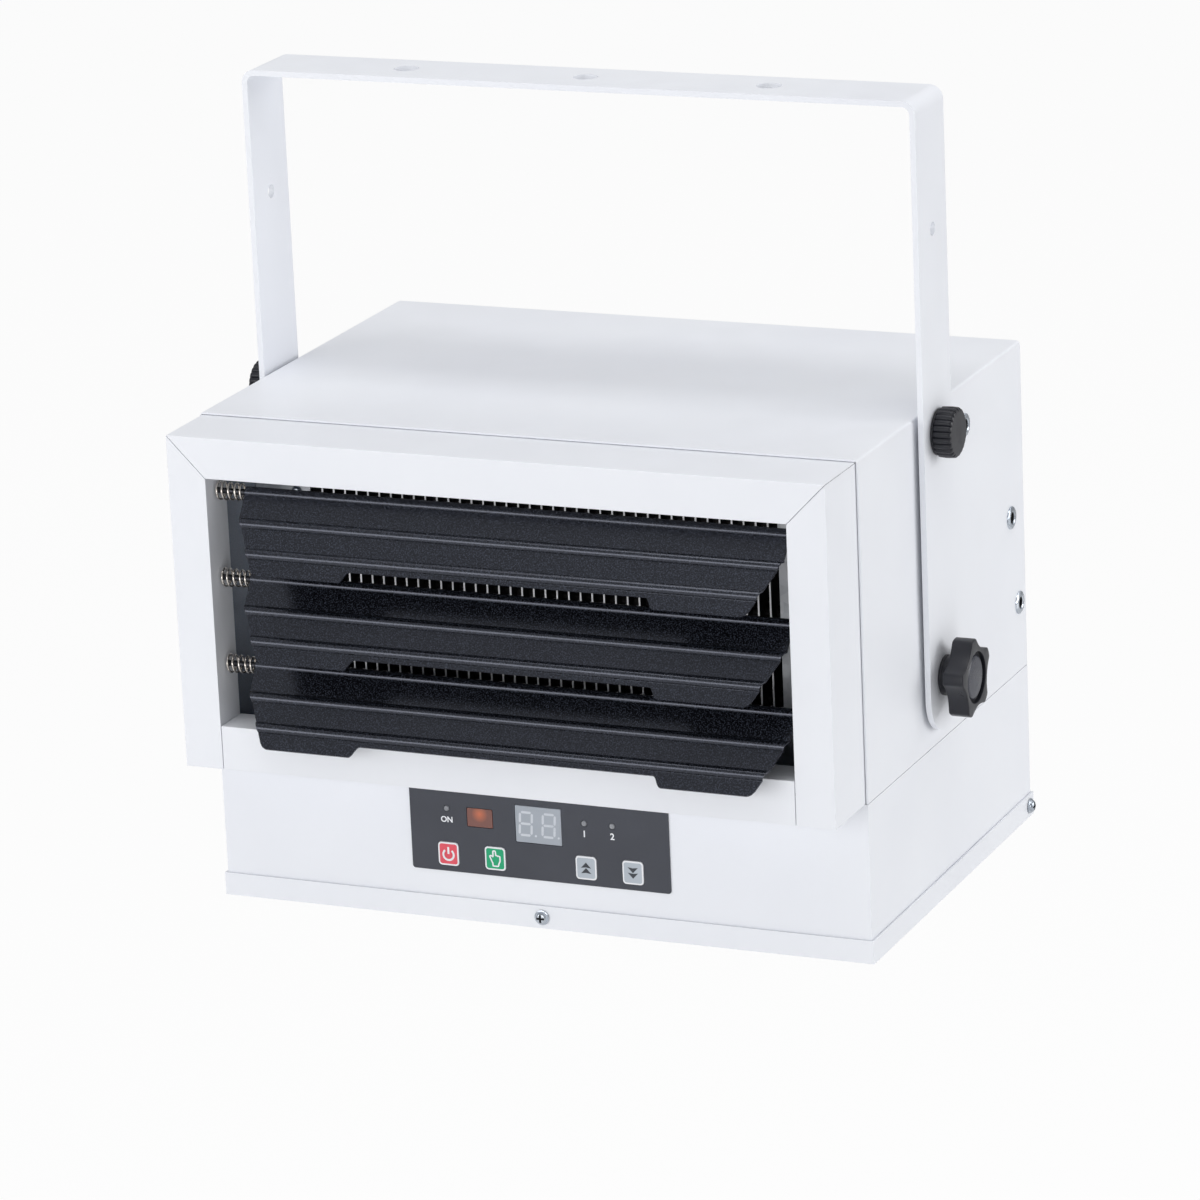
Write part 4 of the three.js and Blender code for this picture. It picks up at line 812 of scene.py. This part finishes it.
def star_rings():
    """The star grip: a circle bitten by five larger hollows, carried along X.

    In the direction of a bite the radius is its centre's distance times the cosine of the angle off, less
    the chord's half length, and elsewhere the circle's own. A smooth minimum of the two takes off the points.
    Its rims are rounded, and its face has a round recess.
    """
    count = 240
    turn = np.linspace(0, 2 * pi, count, endpoint=False)
    period = 2 * pi / STAR["lobes"]
    off = (turn - STAR["turn"] + period / 2) % period - period / 2
    across = STAR["away"] * np.sin(off)
    half_chord = np.sqrt(np.maximum(STAR["hollow"] ** 2 - across**2, 0))
    bitten = np.where(np.abs(across) < STAR["hollow"], STAR["away"] * np.cos(off) - half_chord, 1.0)
    soft = 0.35 * MM
    difference = STAR["radius"] - bitten
    radius = (STAR["radius"] + bitten - np.sqrt(difference**2 + 4 * soft**2)) / 2
    low, high = 6.3 * MM, 17.3 * MM
    rim = 0.9 * MM
    bend = np.linspace(0, pi / 2, 6)
    inset = np.concatenate([rim * (1 - np.sin(bend)), rim * (1 - np.cos(bend))])
    place = np.concatenate([low + rim * (1 - np.cos(bend)), high - rim * (1 - np.sin(bend))])
    reach = radius[None] - inset[:, None]
    hollow = np.array([(13.6, 17.3), (13.35, 17.25), (13.2, 17.1), (13.2, 15.1), (12.9, 14.9)]) * MM
    reach = np.concatenate([reach, np.repeat(hollow[:, :1], count, 1)])
    place = np.concatenate([place, hollow[:, 1]])
    rings = np.empty((len(place), count, 3))
    rings[..., 0] = place[:, None]
    rings[..., 1] = reach * np.cos(turn)
    rings[..., 2] = reach * np.sin(turn)
    return rings


def lock_rings():
    """The knurled grip, carried along X.

    Its radius dips by a rounded wave between ridges, and bulges a little at mid length.
    """
    count = 24 * 10
    turn = np.linspace(0, 2 * pi, count, endpoint=False)
    wave = np.abs(np.sin(12 * turn)) ** 0.6
    low, high = 1.5 * MM, 11.1 * MM
    profile = eased(
        [
            (11 * MM, low),
            (12.7 * MM, low + 0.3 * MM),
            (13 * MM, (low + high) / 2),
            (12.7 * MM, high - 1 * MM),
            (11.3 * MM, high),
            (9.5 * MM, high),
        ],
        1.4 * MM,
        steps=5,
    )
    depth = np.clip((profile[:, 0] - 10.6 * MM) / (1.6 * MM), 0, 1) * 1 * MM
    radius = profile[:, :1] - depth[:, None] * (1 - wave)[None]
    rings = np.empty((len(profile), count, 3))
    rings[..., 0] = profile[:, 1:]
    rings[..., 1] = radius * np.cos(turn)
    rings[..., 2] = radius * np.sin(turn)
    return rings


def faced(shape_rings, place, sign):
    """Rings set on the right side, or turned half round for the left."""
    rings = np.array(shape_rings)
    if sign < 0:
        rings[..., :2] *= -1
    return skin(rings + np.asarray(place, float))


def make_knobs():
    """A star knob and a lock knob on each arm, each with a grip, a washer and a stud."""
    star_washer = stepped([(5, 0.3), (10.4, 0.3), (10.4, 1.8), (9, 1.8)], 0.3)
    star_hub = [(10 * MM, 1.7 * MM), (10 * MM, 6.5 * MM)]
    star_stud = stepped([(3.4, -16), (4, -15.4), (4, 0.4)], 0.2)
    star_cap = stepped([(11.2, 14), (11.2, 16), (10, 16.7), (5, 17), (0.4, 17.1)], 0.6)
    lock_washer = stepped([(5, 0.3), (12, 0.3), (12, 1.5), (10, 1.6)], 0.3)
    lock_stud = stepped([(2.4, -3.5), (3, -3), (3, 0.4)], 0.2)
    for name, sign in (("right", 1), ("left", -1)):
        flip = sign < 0
        seat = (sign * ARM_FACE, 0, PIVOT_Z)
        parts = [
            coloured(faced(star_rings(), seat, sign), KNOB_BLACK),
            coloured(turned(star_washer, "x", seat, 64, flip), KNOB_BLACK),
            coloured(turned(star_hub, "x", seat, 48, flip), KNOB_BLACK),
            coloured(turned(star_stud, "x", seat, 24, flip), ZINC),
            coloured(turned(star_cap, "x", seat, 64, flip), CAP_GREY),
        ]
        piece(f"{name}_star_knob_finish", f"{name}_star", parts, f"{name}_star_knob")

        seat = (sign * ARM_FACE, 0, middle(f"{name}_lock_knob").z)
        parts = [
            coloured(faced(lock_rings(), seat, sign), KNOB_BLACK),
            coloured(turned(lock_washer, "x", seat, 64, flip), KNOB_BLACK),
            coloured(turned(lock_stud, "x", seat, 24, flip), ZINC),
        ]
        piece(f"{name}_lock_knob_finish", f"{name}_lock", parts, f"{name}_lock_knob")


def make_inserts():
    """Threaded inserts: a domed flange, a countersink, a bore with thread ridges, and a barrel inside.

    The barrel is dark grey: painted shade in the bore.
    """
    ridges = [(3 * MM - 0.25 * MM * (n % 2), 0.6 * MM - 0.4 * MM * n) for n in range(24)]
    shade_liner = [
        (2.7 * MM, -8.6 * MM),
        (2.7 * MM, 0.5 * MM),
        (3.05 * MM, 0.75 * MM),
        (3.3 * MM, 0.5 * MM),
        (3.3 * MM, -8.6 * MM),
    ]
    profile = [
        *ridges[::-1],
        (3.1 * MM, 0.9 * MM),
        (3.6 * MM, 1.25 * MM),
        (5.2 * MM, 1.15 * MM),
        (5.9 * MM, 0.75 * MM),
        (6.1 * MM, 0.3 * MM),
        (6.1 * MM, 0.02 * MM),
        (4.2 * MM, 0.02 * MM),
        (4.2 * MM, -9 * MM),
    ]
    for name, sign in (("right", 1), ("left", -1)):
        for number in range(1, 5):
            node = f"{name}_insert_{number}"
            centre = middle(node)
            seat = (sign * HALF_WIDTH, centre.y, centre.z)
            ring = turned(profile[::-1], "x", seat, 40, sign < 0, bored=True)
            shade_sleeve = turned(shade_liner[::-1], "x", seat, 40, sign < 0, bored=True)
            # the barrel inside is dark grey as painted shade of the bore
            parts = [coloured(ring, ZINC), coloured(shade_sleeve, BORE_PAINTED_SHADE)]
            piece(f"{node}_finish", "heater", parts, node)


def make_base_screws():
    """Pan heads on thin washers, each with a cross recess cut by two tapered blades.

    The recess faces are dark grey: painted shade.
    """
    shank = [(1.75, -8), (1.75, 0.3)]
    washer = [(4, 0.3), (4, 0.8)]
    head = [(3.3, 0.95), (3.1, 1.9), (2.2, 2.7), (0.5, 2.9)]
    profile = stepped([*shank, *washer, *head], 0.5)
    right, left = middle("right_base_screw"), middle("left_base_screw")
    seats = {
        "front_base_screw": ("y", (0, TRAY_LOW.y, middle("front_base_screw").z), True),
        "right_base_screw": ("x", (TRAY_HIGH.x, right.y, right.z), False),
        "left_base_screw": ("x", (TRAY_LOW.x, left.y, left.z), True),
    }
    for node, (axis, seat, flip) in seats.items():
        shape = turned(profile, axis, seat, 40, flip)
        made = piece(f"{node}_finish", "heater", [coloured(shape, ZINC)], node)
        sign = -1 if flip else 1
        along = AXES[axis][2]
        blades = []
        for width, height in ((4.4 * MM, 1.1 * MM), (1.1 * MM, 4.4 * MM)):
            low, high = np.sort([seat[along] + sign * 1.2 * MM, seat[along] + sign * 4 * MM])
            centre = [seat[AXES[axis][0]], seat[AXES[axis][1]]]
            outline = rounded_rectangle(width, height, 0.1 * MM, *centre, steps=1)
            blades.append(plate(outline, axis, low, high, 0.05 * MM, 1))
        # the recess faces take dark grey: painted shade in the cross
        bored(made, blades, 0, BORE_PAINTED_SHADE)


make_knobs()
make_inserts()
make_base_screws()

# ---------------------------------------------------------------- heating elements and duct


def box_array(lows, highs):
    """Points and faces of many boxes at once, from arrays of their lowest and highest corners."""
    pick = np.array([[i, j, k] for i in (0, 1) for j in (0, 1) for k in (0, 1)])
    both = np.stack([lows, highs], 1)
    points = both[:, pick, [0, 1, 2]].reshape(-1, 3)
    sides = np.array([[0, 1, 3, 2], [4, 6, 7, 5], [0, 4, 5, 1], [2, 3, 7, 6], [0, 2, 6, 4], [1, 5, 7, 3]])
    faces = (sides[None] + 8 * np.arange(len(lows))[:, None, None]).reshape(-1, 4)
    return points, faces.tolist()


def fin_row(thick, front, back, bottom, top):
    """One box for each fin, at an even pitch along X."""
    x = (np.arange(FIN_COUNT) - (FIN_COUNT - 1) / 2) * FIN_PITCH
    lows = np.stack([x - thick / 2, np.full(FIN_COUNT, front), np.full(FIN_COUNT, bottom)], -1)
    highs = np.stack([x + thick / 2, np.full(FIN_COUNT, back), np.full(FIN_COUNT, top)], -1)
    return box_array(lows, highs)


def make_elements():
    """Fins on a round sheathed tube with a pin through it. Each fin has a bright front edge, and its sides
    are near black as painted shade of the deep gaps between fins.
    """
    roll_thick, roll_depth = FIN_ROLL
    for number in range(1, 4):
        node = f"finned_element_{number}"
        low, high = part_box(node)
        _, y, z = middle(node)
        sheath = rod((-TUBE_HALF, y, z), (TUBE_HALF, y, z), TUBE_RADIUS, 24, 0.5 * MM)
        pin = rod((low.x, y, z), (high.x, y, z), PIN_RADIUS, 12)
        parts = [
            coloured(fin_row(roll_thick, low.y, low.y + roll_depth, low.z, high.z), FIN_EDGE),
            # the fins' sides in near black: painted shade between the fins
            coloured(fin_row(FIN_THICK, low.y + roll_depth, high.y, low.z, high.z), FIN_PAINTED_SHADE),
            coloured(sheath, TUBE_BLUED),
            coloured(pin, STEEL),
        ]
        piece(f"{node}_finish", "heater", parts, node)


def make_element_frame():
    """The plated window frame, with a small screw head beside each end of the elements."""
    eased_copy("element_frame", "heater", GALVANISED, 0.2 * MM)
    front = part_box("element_frame")[0].y
    profile = stepped([(2.8, 0.05), (2.8, 0.9), (1.8, 1.9), (0.3, 2)], 0.5)
    for number in range(1, 4):
        height = middle(f"finned_element_{number}").z + 1.5 * MM
        for name, side in (("left", -1), ("right", 1)):
            head = turned(profile, "y", (side * FRAME_SCREW, front, height), 24, True)
            piece(f"{name}_frame_screw_{number}", "heater", [coloured(head, ZINC)])


make_elements()
make_element_frame()
eased_copy("heat_chamber", "heater", DUCT_COAT, 0.3 * MM)

# ---------------------------------------------------------------- fan, guard and motor


def make_rotor():
    """Five twisted blades on a cup hub.

    A blade is a grid of its radius and its share of the chord. The chord turns by the pitch, is cambered by
    a parabola, and is wrapped round the axis: the turn is the distance round over the radius.
    """
    centre = middle("fan_rotor")
    share = np.linspace(-0.5, 0.5, 15)[None, :]
    reach = np.linspace(0, 1, 18)[:, None]
    radius = (HUB_RADIUS - 1 * MM) + reach * (FAN_RADIUS - HUB_RADIUS + 1 * MM)
    chord = (24 + 20 * np.sin(reach * pi / 2)) * MM
    corner = np.clip((reach - 0.8) / 0.2, 0, 1)
    chord = chord * (1 - 0.25 * corner**2)
    pitch = np.radians(38 - 18 * reach)
    camber = 0.08 * chord * (1 - 4 * share**2)
    outside = [(17.6, -10), (22, -7), (22, 10)]
    inside = [(20, 10), (20, -5), (6, -5), (6, 10), (3.3, 10)]
    hub = stepped([*outside, *inside], 1)
    parts = [coloured(turned(hub, "y", centre, 64), DUCT_COAT)]
    for number in range(FAN_BLADES):
        start = number / FAN_BLADES * 2 * pi
        faces = []
        for side in (0.5, -0.5):
            lift = side * BLADE_THICK + camber
            around = share * chord * np.cos(pitch) - lift * np.sin(pitch)
            axial = share * chord * np.sin(pitch) + lift * np.cos(pitch)
            turn = start + around / radius
            x = centre.x + radius * np.cos(turn)
            z = centre.z + radius * np.sin(turn)
            faces.append(np.stack([x, centre.y + axial, z], -1))
        parts.append(coloured(sheet_skin(*faces), DUCT_COAT))
    piece("fan_rotor_finish", "rotor", parts, "fan_rotor", crease=50)


def make_guard():
    """Round wire rings welded on straight spokes, with a disc in the middle."""
    low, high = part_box("fan_guard")
    centre = (low + high) / 2
    wire = GUARD_WIRE
    turn = np.linspace(0, 2 * pi, 96, endpoint=False)
    parts = []
    for radius in GUARD_RINGS:
        section = np.linspace(0, 2 * pi, 10, endpoint=False)
        reach = radius + wire * np.cos(section)[:, None]
        rings = np.empty((10, 96, 3))
        rings[..., 0] = centre.x + reach * np.sin(turn)
        rings[..., 1] = high.y - wire + wire * np.sin(section)[:, None]
        rings[..., 2] = centre.z + reach * np.cos(turn)
        parts.append(coloured(skin(rings[::-1], bored=True), GUARD_BLACK))
    for spoke in range(GUARD_SPOKES):
        angle = spoke * pi / GUARD_SPOKES + pi / 8
        tip = np.array([SPOKE_REACH * cos(angle), 0, SPOKE_REACH * sin(angle)])
        base = np.array([centre.x, low.y + wire, centre.z])
        parts.append(coloured(rod(base - tip, base + tip, wire, 12), GUARD_BLACK))
    disc = eased([(9 * MM, low.y), (10 * MM, low.y + 1 * MM), (9 * MM, low.y + 2.2 * MM)], 0.4 * MM)
    parts.append(coloured(turned(disc, "y", (centre.x, 0, centre.z), 40), GUARD_BLACK))
    piece("fan_guard_finish", "heater", parts, "fan_guard")


make_rotor()
make_guard()
eased_copy("motor_bracket", "heater", GALVANISED, 0.4 * MM)
eased_copy("fan_motor", "heater", ZINC, 0.5 * MM)

# ---------------------------------------------------------------- electrical parts

for inner_node, inner_material, inner_slot in (
    ("cable_gland", INNER_BLACK, "black_plastic"),
    ("terminal_block", INNER_BLACK, "black_plastic"),
    ("thermal_cutout", INNER_BLACK, "black_plastic"),
    ("power_relay", RELAY_GREY, "grey_plastic"),
    ("control_board", BOARD, "board"),
    ("right_pivot_washer", ZINC, "zinc"),
    ("left_pivot_washer", ZINC, "zinc"),
):
    eased_copy(inner_node, "heater", inner_material, 0.25 * MM)

# ---------------------------------------------------------------- control panel

PRINT = 0.03 * MM
KEY_SIZE = (11.4 * MM, 12.4 * MM)
KEY_BORDER = 0.85 * MM
DIGIT_SIZE = (7.8 * MM, 13.4 * MM)
DIGIT_APART = 6.3 * MM  # each digit's middle from the middle between them
DIGIT_LEAN = 0.06


def flat(outline, material, face, sink=0.2 * MM):
    """A printed shape in (x, z): a thin plate whose front stands one print's thickness proud of a face."""
    turned_outline = np.asarray(outline, float)[::-1, ::-1]
    return coloured(plate(turned_outline, "y", face - PRINT, face + sink, 0.005 * MM, 1), material)


def offset_line(path, reach, closed=False):
    """A line of points moved to its left by a reach."""
    path = np.asarray(path, float)
    if closed:
        along = np.roll(path, -1, 0) - np.roll(path, 1, 0)
    else:
        along = np.gradient(path, axis=0)
    along /= np.linalg.norm(along, axis=1)[:, None]
    return path + reach * np.stack([-along[:, 1], along[:, 0]], -1)


def stroke(path, width):
    """Outline of an open stroke of even width, anticlockwise."""
    return np.concatenate([offset_line(path, -width / 2), offset_line(path, width / 2)[::-1]])


def ring_frame(outer, inner, material, face):
    """A flat border between two matching outlines, standing one print's thickness proud."""
    outer, inner = np.asarray(outer), np.asarray(inner)
    count = len(outer)
    rings = np.empty((4, count, 3))
    sink = 0.2 * MM
    lines = ((outer, sink), (outer, -PRINT), (inner, -PRINT), (inner, sink))
    for row, (outline, depth) in enumerate(lines):
        rings[row, :, 0] = outline[:, 0]
        rings[row, :, 1] = face + depth
        rings[row, :, 2] = outline[:, 1]
    return coloured(skin(rings, bored=True), material)


def power_mark(x, z, face):
    """A ring open at the top and an upright stroke."""
    radius, width = 2.9 * MM, 1.05 * MM
    turn = np.radians(np.linspace(130, 410, 33))
    arc = np.stack([x + radius * np.cos(turn), z - 0.4 * MM + radius * np.sin(turn)], -1)
    upright = np.array([(x, z + lift * MM) for lift in (0, 1.2, 2.4, 3.7)])
    return [flat(stroke(line, width), PRINT_WHITE, face) for line in (arc, upright)]


def touch_mark(x, z, face):
    """A pointing hand in outline: a cuff, a bent thumb, one raised finger and three bent ones."""
    line = np.array(
        [
            (-1.4, -4.0),
            (1.7, -4.0),
            (1.9, -2.8),
            (2.7, -1.2),
            (2.7, 1.3),
            (1.9, 1.6),
            (1.4, 1.4),
            (0.9, 1.9),
            (0.4, 1.7),
            (0.3, 4.1),
            (-1.1, 4.1),
            (-1.1, 0.8),
            (-2.2, 1.6),
            (-3, 1.2),
            (-2, -1.2),
            (-1.3, -2.6),
        ]
    )
    hand = np.array([x, z]) + eased(line, 0.45, closed=True, steps=3) * MM
    outer = offset_line(hand, -0.38 * MM, True)
    inner = offset_line(hand, 0.38 * MM, True)
    return [ring_frame(outer, inner, PRINT_WHITE, face)]


def arrow_mark(x, z, face, up):
    """Two notched arrow heads, one above the other."""
    sign = 1 if up else -1
    half, tall, notch = 2.8 * MM, 3 * MM, 0.4 * MM
    heads = []
    for foot in (0, -2.9 * MM):
        corners = [(x - half, foot), (x, foot + notch), (x + half, foot), (x, foot + tall)]
        outline = np.array([(across, z + sign * lift) for across, lift in corners])
        heads.append(flat(outline[::sign], PRINT_DARK, face))
    return heads


def make_key(node, body, material, mark):
    """One key: a pale cap with rounded corners, a coloured face and a printed mark."""
    low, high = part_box(node)
    centre = (low + high) / 2
    width, height = KEY_SIZE
    outline = rounded_rectangle(height, width, 1.9 * MM, centre.z, centre.x)
    cap = plate(outline, "y", low.y, low.y + 1.9 * MM, 0.2 * MM)
    face_size = (width - 2 * KEY_BORDER, height - 2 * KEY_BORDER)
    face = rounded_rectangle(*face_size, 1.2 * MM, centre.x, centre.z)
    stem = rod((centre.x, low.y + 1 * MM, centre.z), (centre.x, high.y, centre.z), 2 * MM)
    lip_outline = rounded_rectangle(height + 2 * MM, width + 2 * MM, 1 * MM, centre.z, centre.x)
    lip = plate(lip_outline, "y", low.y + 1.3 * MM, low.y + 2.3 * MM, 0.2 * MM)
    parts = [
        coloured(cap, PRINT_WHITE),
        flat(face, material, low.y),
        *mark(centre.x, centre.z, low.y - PRINT),
        coloured(stem, material),
        coloured(lip, material),
    ]
    return piece(f"{node}_finish", body, parts, node)


def raise_mark(x, z, face):
    """Arrow heads that point up."""
    return arrow_mark(x, z, face, True)


def lower_mark(x, z, face):
    """Arrow heads that point down."""
    return arrow_mark(x, z, face, False)


def make_keys():
    """The four keys of the panel."""
    for node, body, material, mark, slot in (
        ("power_button", "power_key", KEY_RED, power_mark, "red_plastic"),
        ("mode_button", "mode_key", KEY_GREEN, touch_mark, "green_plastic"),
        ("up_button", "up_key", KEY_GREY, raise_mark, "grey_plastic"),
        ("down_button", "down_key", KEY_GREY, lower_mark, "grey_plastic"),
    ):
        make_key(node, body, material, mark)


def digit_segments(x, z, width, height, lean):
    """Seven bars and a point of one digit: each bar is a hexagon, and heights lean to the right."""
    bar = 0.16 * width
    half_w, half_h = width / 2, height / 2
    gap = 0.35 * MM

    def bar_between(start, end):
        """A bar with pointed ends, a gap short of both."""
        start, end = np.array(start), np.array(end)
        along = (end - start) / np.linalg.norm(end - start)
        side = np.array([-along[1], along[0]]) * bar / 2
        tip = along * bar / 2
        first, last = start + along * gap, end - along * gap
        corners = [first, first + tip - side, last - tip - side, last, last - tip + side, first + tip + side]
        return np.array(corners)

    left, right = -half_w + bar / 2, half_w - bar / 2
    top, bottom = half_h - bar / 2, -half_h + bar / 2
    ends = [
        ((left, top), (right, top)),
        ((left, 0), (right, 0)),
        ((left, bottom), (right, bottom)),
        ((left, bottom), (left, 0)),
        ((left, 0), (left, top)),
        ((right, bottom), (right, 0)),
        ((right, 0), (right, top)),
    ]
    shapes = [bar_between(*pair) for pair in ends]
    turn = np.linspace(0, 2 * pi, 16, endpoint=False)
    point_x = right + 1.9 * bar + 0.5 * bar * np.cos(turn)
    point_z = bottom + 0.5 * bar * np.sin(turn)
    shapes.append(np.stack([point_x, point_z], -1))
    leaned = [np.stack([s[:, 0] + lean * s[:, 1], s[:, 1]], -1) for s in shapes]
    return [s + np.array([x, z]) for s in leaned]


def pane(node, material):
    """A flat pane with small round corners that fills a node's box."""
    low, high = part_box(node)
    centre = (low + high) / 2
    outline = rounded_rectangle(high.z - low.z, high.x - low.x, 0.4 * MM, centre.z, centre.x, 3)
    return coloured(plate(outline, "y", low.y, high.y, 0.15 * MM), material)


def make_display():
    """The display with its two unlit digits, and the receiver's window."""
    centre = middle("display_module")
    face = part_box("display_module")[0].y
    parts = [pane("display_module", DISPLAY_FACE)]
    for side in (-1, 1):
        across = centre.x + side * DIGIT_APART - 0.6 * MM
        digit = digit_segments(across, centre.z + 0.3 * MM, *DIGIT_SIZE, DIGIT_LEAN)
        parts += [flat(shape, SEGMENT, face) for shape in digit]
    piece("display_finish", "heater", parts, "display_module")
    window = pane("receiver_window", RECEIVER)
    piece("receiver_finish", "heater", [window], "receiver_window")


def make_lamps():
    """Three small domed lamps in the panel."""
    for node in ("power_lamp", "low_heat_lamp", "high_heat_lamp"):
        low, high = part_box(node)
        centre = (low + high) / 2
        reach = high.y - low.y
        profile = [(1.5 * MM, -reach), (1.5 * MM, -0.5 * MM), (1.1 * MM, -0.1 * MM), (0.2 * MM, 0)]
        dome = turned(eased(profile, 0.4 * MM), "y", (centre.x, low.y, centre.z), 24, True)
        piece(f"{node}_finish", "heater", [coloured(dome, LENS)], node)


def make_label(name, words, x, z, height):
    """Small printed words on the film: flat letters, made a mesh and set in the panel's plane."""
    letters = bpy.data.curves.new(name, "FONT")
    letters.body = words
    letters.size = height
    letters.align_x = "CENTER"
    letters.align_y = "CENTER"
    letters.extrude = 0.05 * MM
    letters.offset = 0.1 * MM
    source = bpy.data.objects.new(name + "_letters", letters)
    scene.collection.objects.link(source)
    graph = bpy.context.evaluated_depsgraph_get()
    mesh = bpy.data.meshes.new_from_object(source.evaluated_get(graph))
    bpy.data.objects.remove(source)
    count = len(mesh.vertices)
    flat_points = np.empty(count * 3)
    mesh.vertices.foreach_get("co", flat_points)
    flat_points = flat_points.reshape(-1, 3)
    placed = np.stack([x + flat_points[:, 0], FILM_FACE - flat_points[:, 2], z + flat_points[:, 1]], -1)
    mesh.vertices.foreach_set("co", placed.ravel())
    mesh.materials.clear()
    mesh.materials.append(PRINT_WHITE)
    settle(name, mesh, "heater")


make_keys()
make_display()
make_lamps()
eased_copy("control_overlay", "heater", FILM, 0.12 * MM)
for label, words, lamp, drop, height in (
    ("power_label", "ON", "power_lamp", 6 * MM, 4.2 * MM),
    ("low_label", "1", "low_heat_lamp", 5.6 * MM, 4.8 * MM),
    ("high_label", "2", "high_heat_lamp", 5.6 * MM, 4.8 * MM),
):
    make_label(label, words, middle(lamp).x, middle(lamp).z - drop, height)

# ---------------------------------------------------------------- camera, floor and light


def make_camera():
    """A long lens, above and to the right of the heater's front."""
    lens = bpy.data.cameras.new("camera")
    lens.lens = 179.35
    lens.sensor_width = 36
    lens.shift_x = 0.0295
    lens.shift_y = -0.0293
    lens.clip_end = 50
    camera = bpy.data.objects.new("camera", lens)
    camera.location = (1.1903, -2.6883, 0.6204)
    camera.rotation_euler = (radians(73.416), radians(2.512), radians(23.556))
    scene.collection.objects.link(camera)
    scene.camera = camera


def seen_white(name, base):
    """A pale surface that keeps soft shadows, and that the camera sees as near white."""
    made = bpy.data.materials.new(name)
    made.use_nodes = True
    tree = made.node_tree
    surface = tree.nodes["Principled BSDF"]
    surface.inputs["Base Color"].default_value = base
    surface.inputs["Roughness"].default_value = 0.9
    glow = tree.nodes.new("ShaderNodeEmission")
    glow.inputs["Strength"].default_value = 1.0
    path = tree.nodes.new("ShaderNodeLightPath")
    seen = tree.nodes.new("ShaderNodeMath")
    seen.operation = "MULTIPLY"
    seen.inputs[1].default_value = 0.94
    mix = tree.nodes.new("ShaderNodeMixShader")
    tree.links.new(path.outputs["Is Camera Ray"], seen.inputs[0])
    tree.links.new(seen.outputs[0], mix.inputs[0])
    tree.links.new(surface.outputs[0], mix.inputs[1])
    tree.links.new(glow.outputs[0], mix.inputs[2])
    tree.links.new(mix.outputs[0], tree.nodes["Material Output"].inputs["Surface"])
    return made


def make_floor():
    """A large pale floor below the hanging heater."""
    drop, size = 0.45, 14
    height = TRAY_LOW.z - drop
    mesh = bpy.data.meshes.new("floor")
    corners = [(-size, -size, height), (size, -size, height), (size, size, height), (-size, size, height)]
    mesh.from_pydata(corners, [], [(0, 1, 2, 3)])
    mesh.materials.append(seen_white("pale_floor", (0.8, 0.8, 0.8, 1)))
    floor = bpy.data.objects.new("floor", mesh)
    scene.collection.objects.link(floor)


def make_world():
    """An even grey studio that the camera sees as white."""
    world = bpy.data.worlds.new("studio")
    world.use_nodes = True
    scene.world = world
    tree = world.node_tree
    background = tree.nodes["Background"]
    background.inputs["Color"].default_value = (0.98, 0.99, 1, 1)
    path = tree.nodes.new("ShaderNodeLightPath")
    seen = tree.nodes.new("ShaderNodeMapRange")
    seen.inputs["To Min"].default_value = 0.48
    seen.inputs["To Max"].default_value = 1.0
    tree.links.new(path.outputs["Is Camera Ray"], seen.inputs["Value"])
    tree.links.new(seen.outputs["Result"], background.inputs["Strength"])


def soft_lamp(name, place, aim, size, power):
    """A rectangular soft box at a place, facing a point."""
    light = bpy.data.lights.new(name, "AREA")
    light.shape = "RECTANGLE"
    light.size, light.size_y = size
    light.energy = power
    lamp = bpy.data.objects.new(name, light)
    lamp.location = place
    direction = Vector(aim) - Vector(place)
    lamp.rotation_euler = direction.to_track_quat("-Z", "Y").to_euler()
    scene.collection.objects.link(lamp)


make_camera()
make_floor()
make_world()
HEATER_MIDDLE = (0, 0, -0.28)
soft_lamp("left_front_box", (-1.2, -2.5, 0.1), HEATER_MIDDLE, (1.6, 1.2), 18.5)
soft_lamp("front_box", (0.5, -2.9, 0.2), HEATER_MIDDLE, (1.6, 1.2), 14)
soft_lamp("overhead_box", (0, -0.35, 1.8), HEATER_MIDDLE, (1.6, 1), 15)
soft_lamp("back_box", (0.3, 1.2, 1.7), HEATER_MIDDLE, (1.4, 0.9), 5)
soft_lamp("right_box", (2.3, 1, 0.1), HEATER_MIDDLE, (1.2, 1.4), 22.5)
scene.view_settings.view_transform = "Standard"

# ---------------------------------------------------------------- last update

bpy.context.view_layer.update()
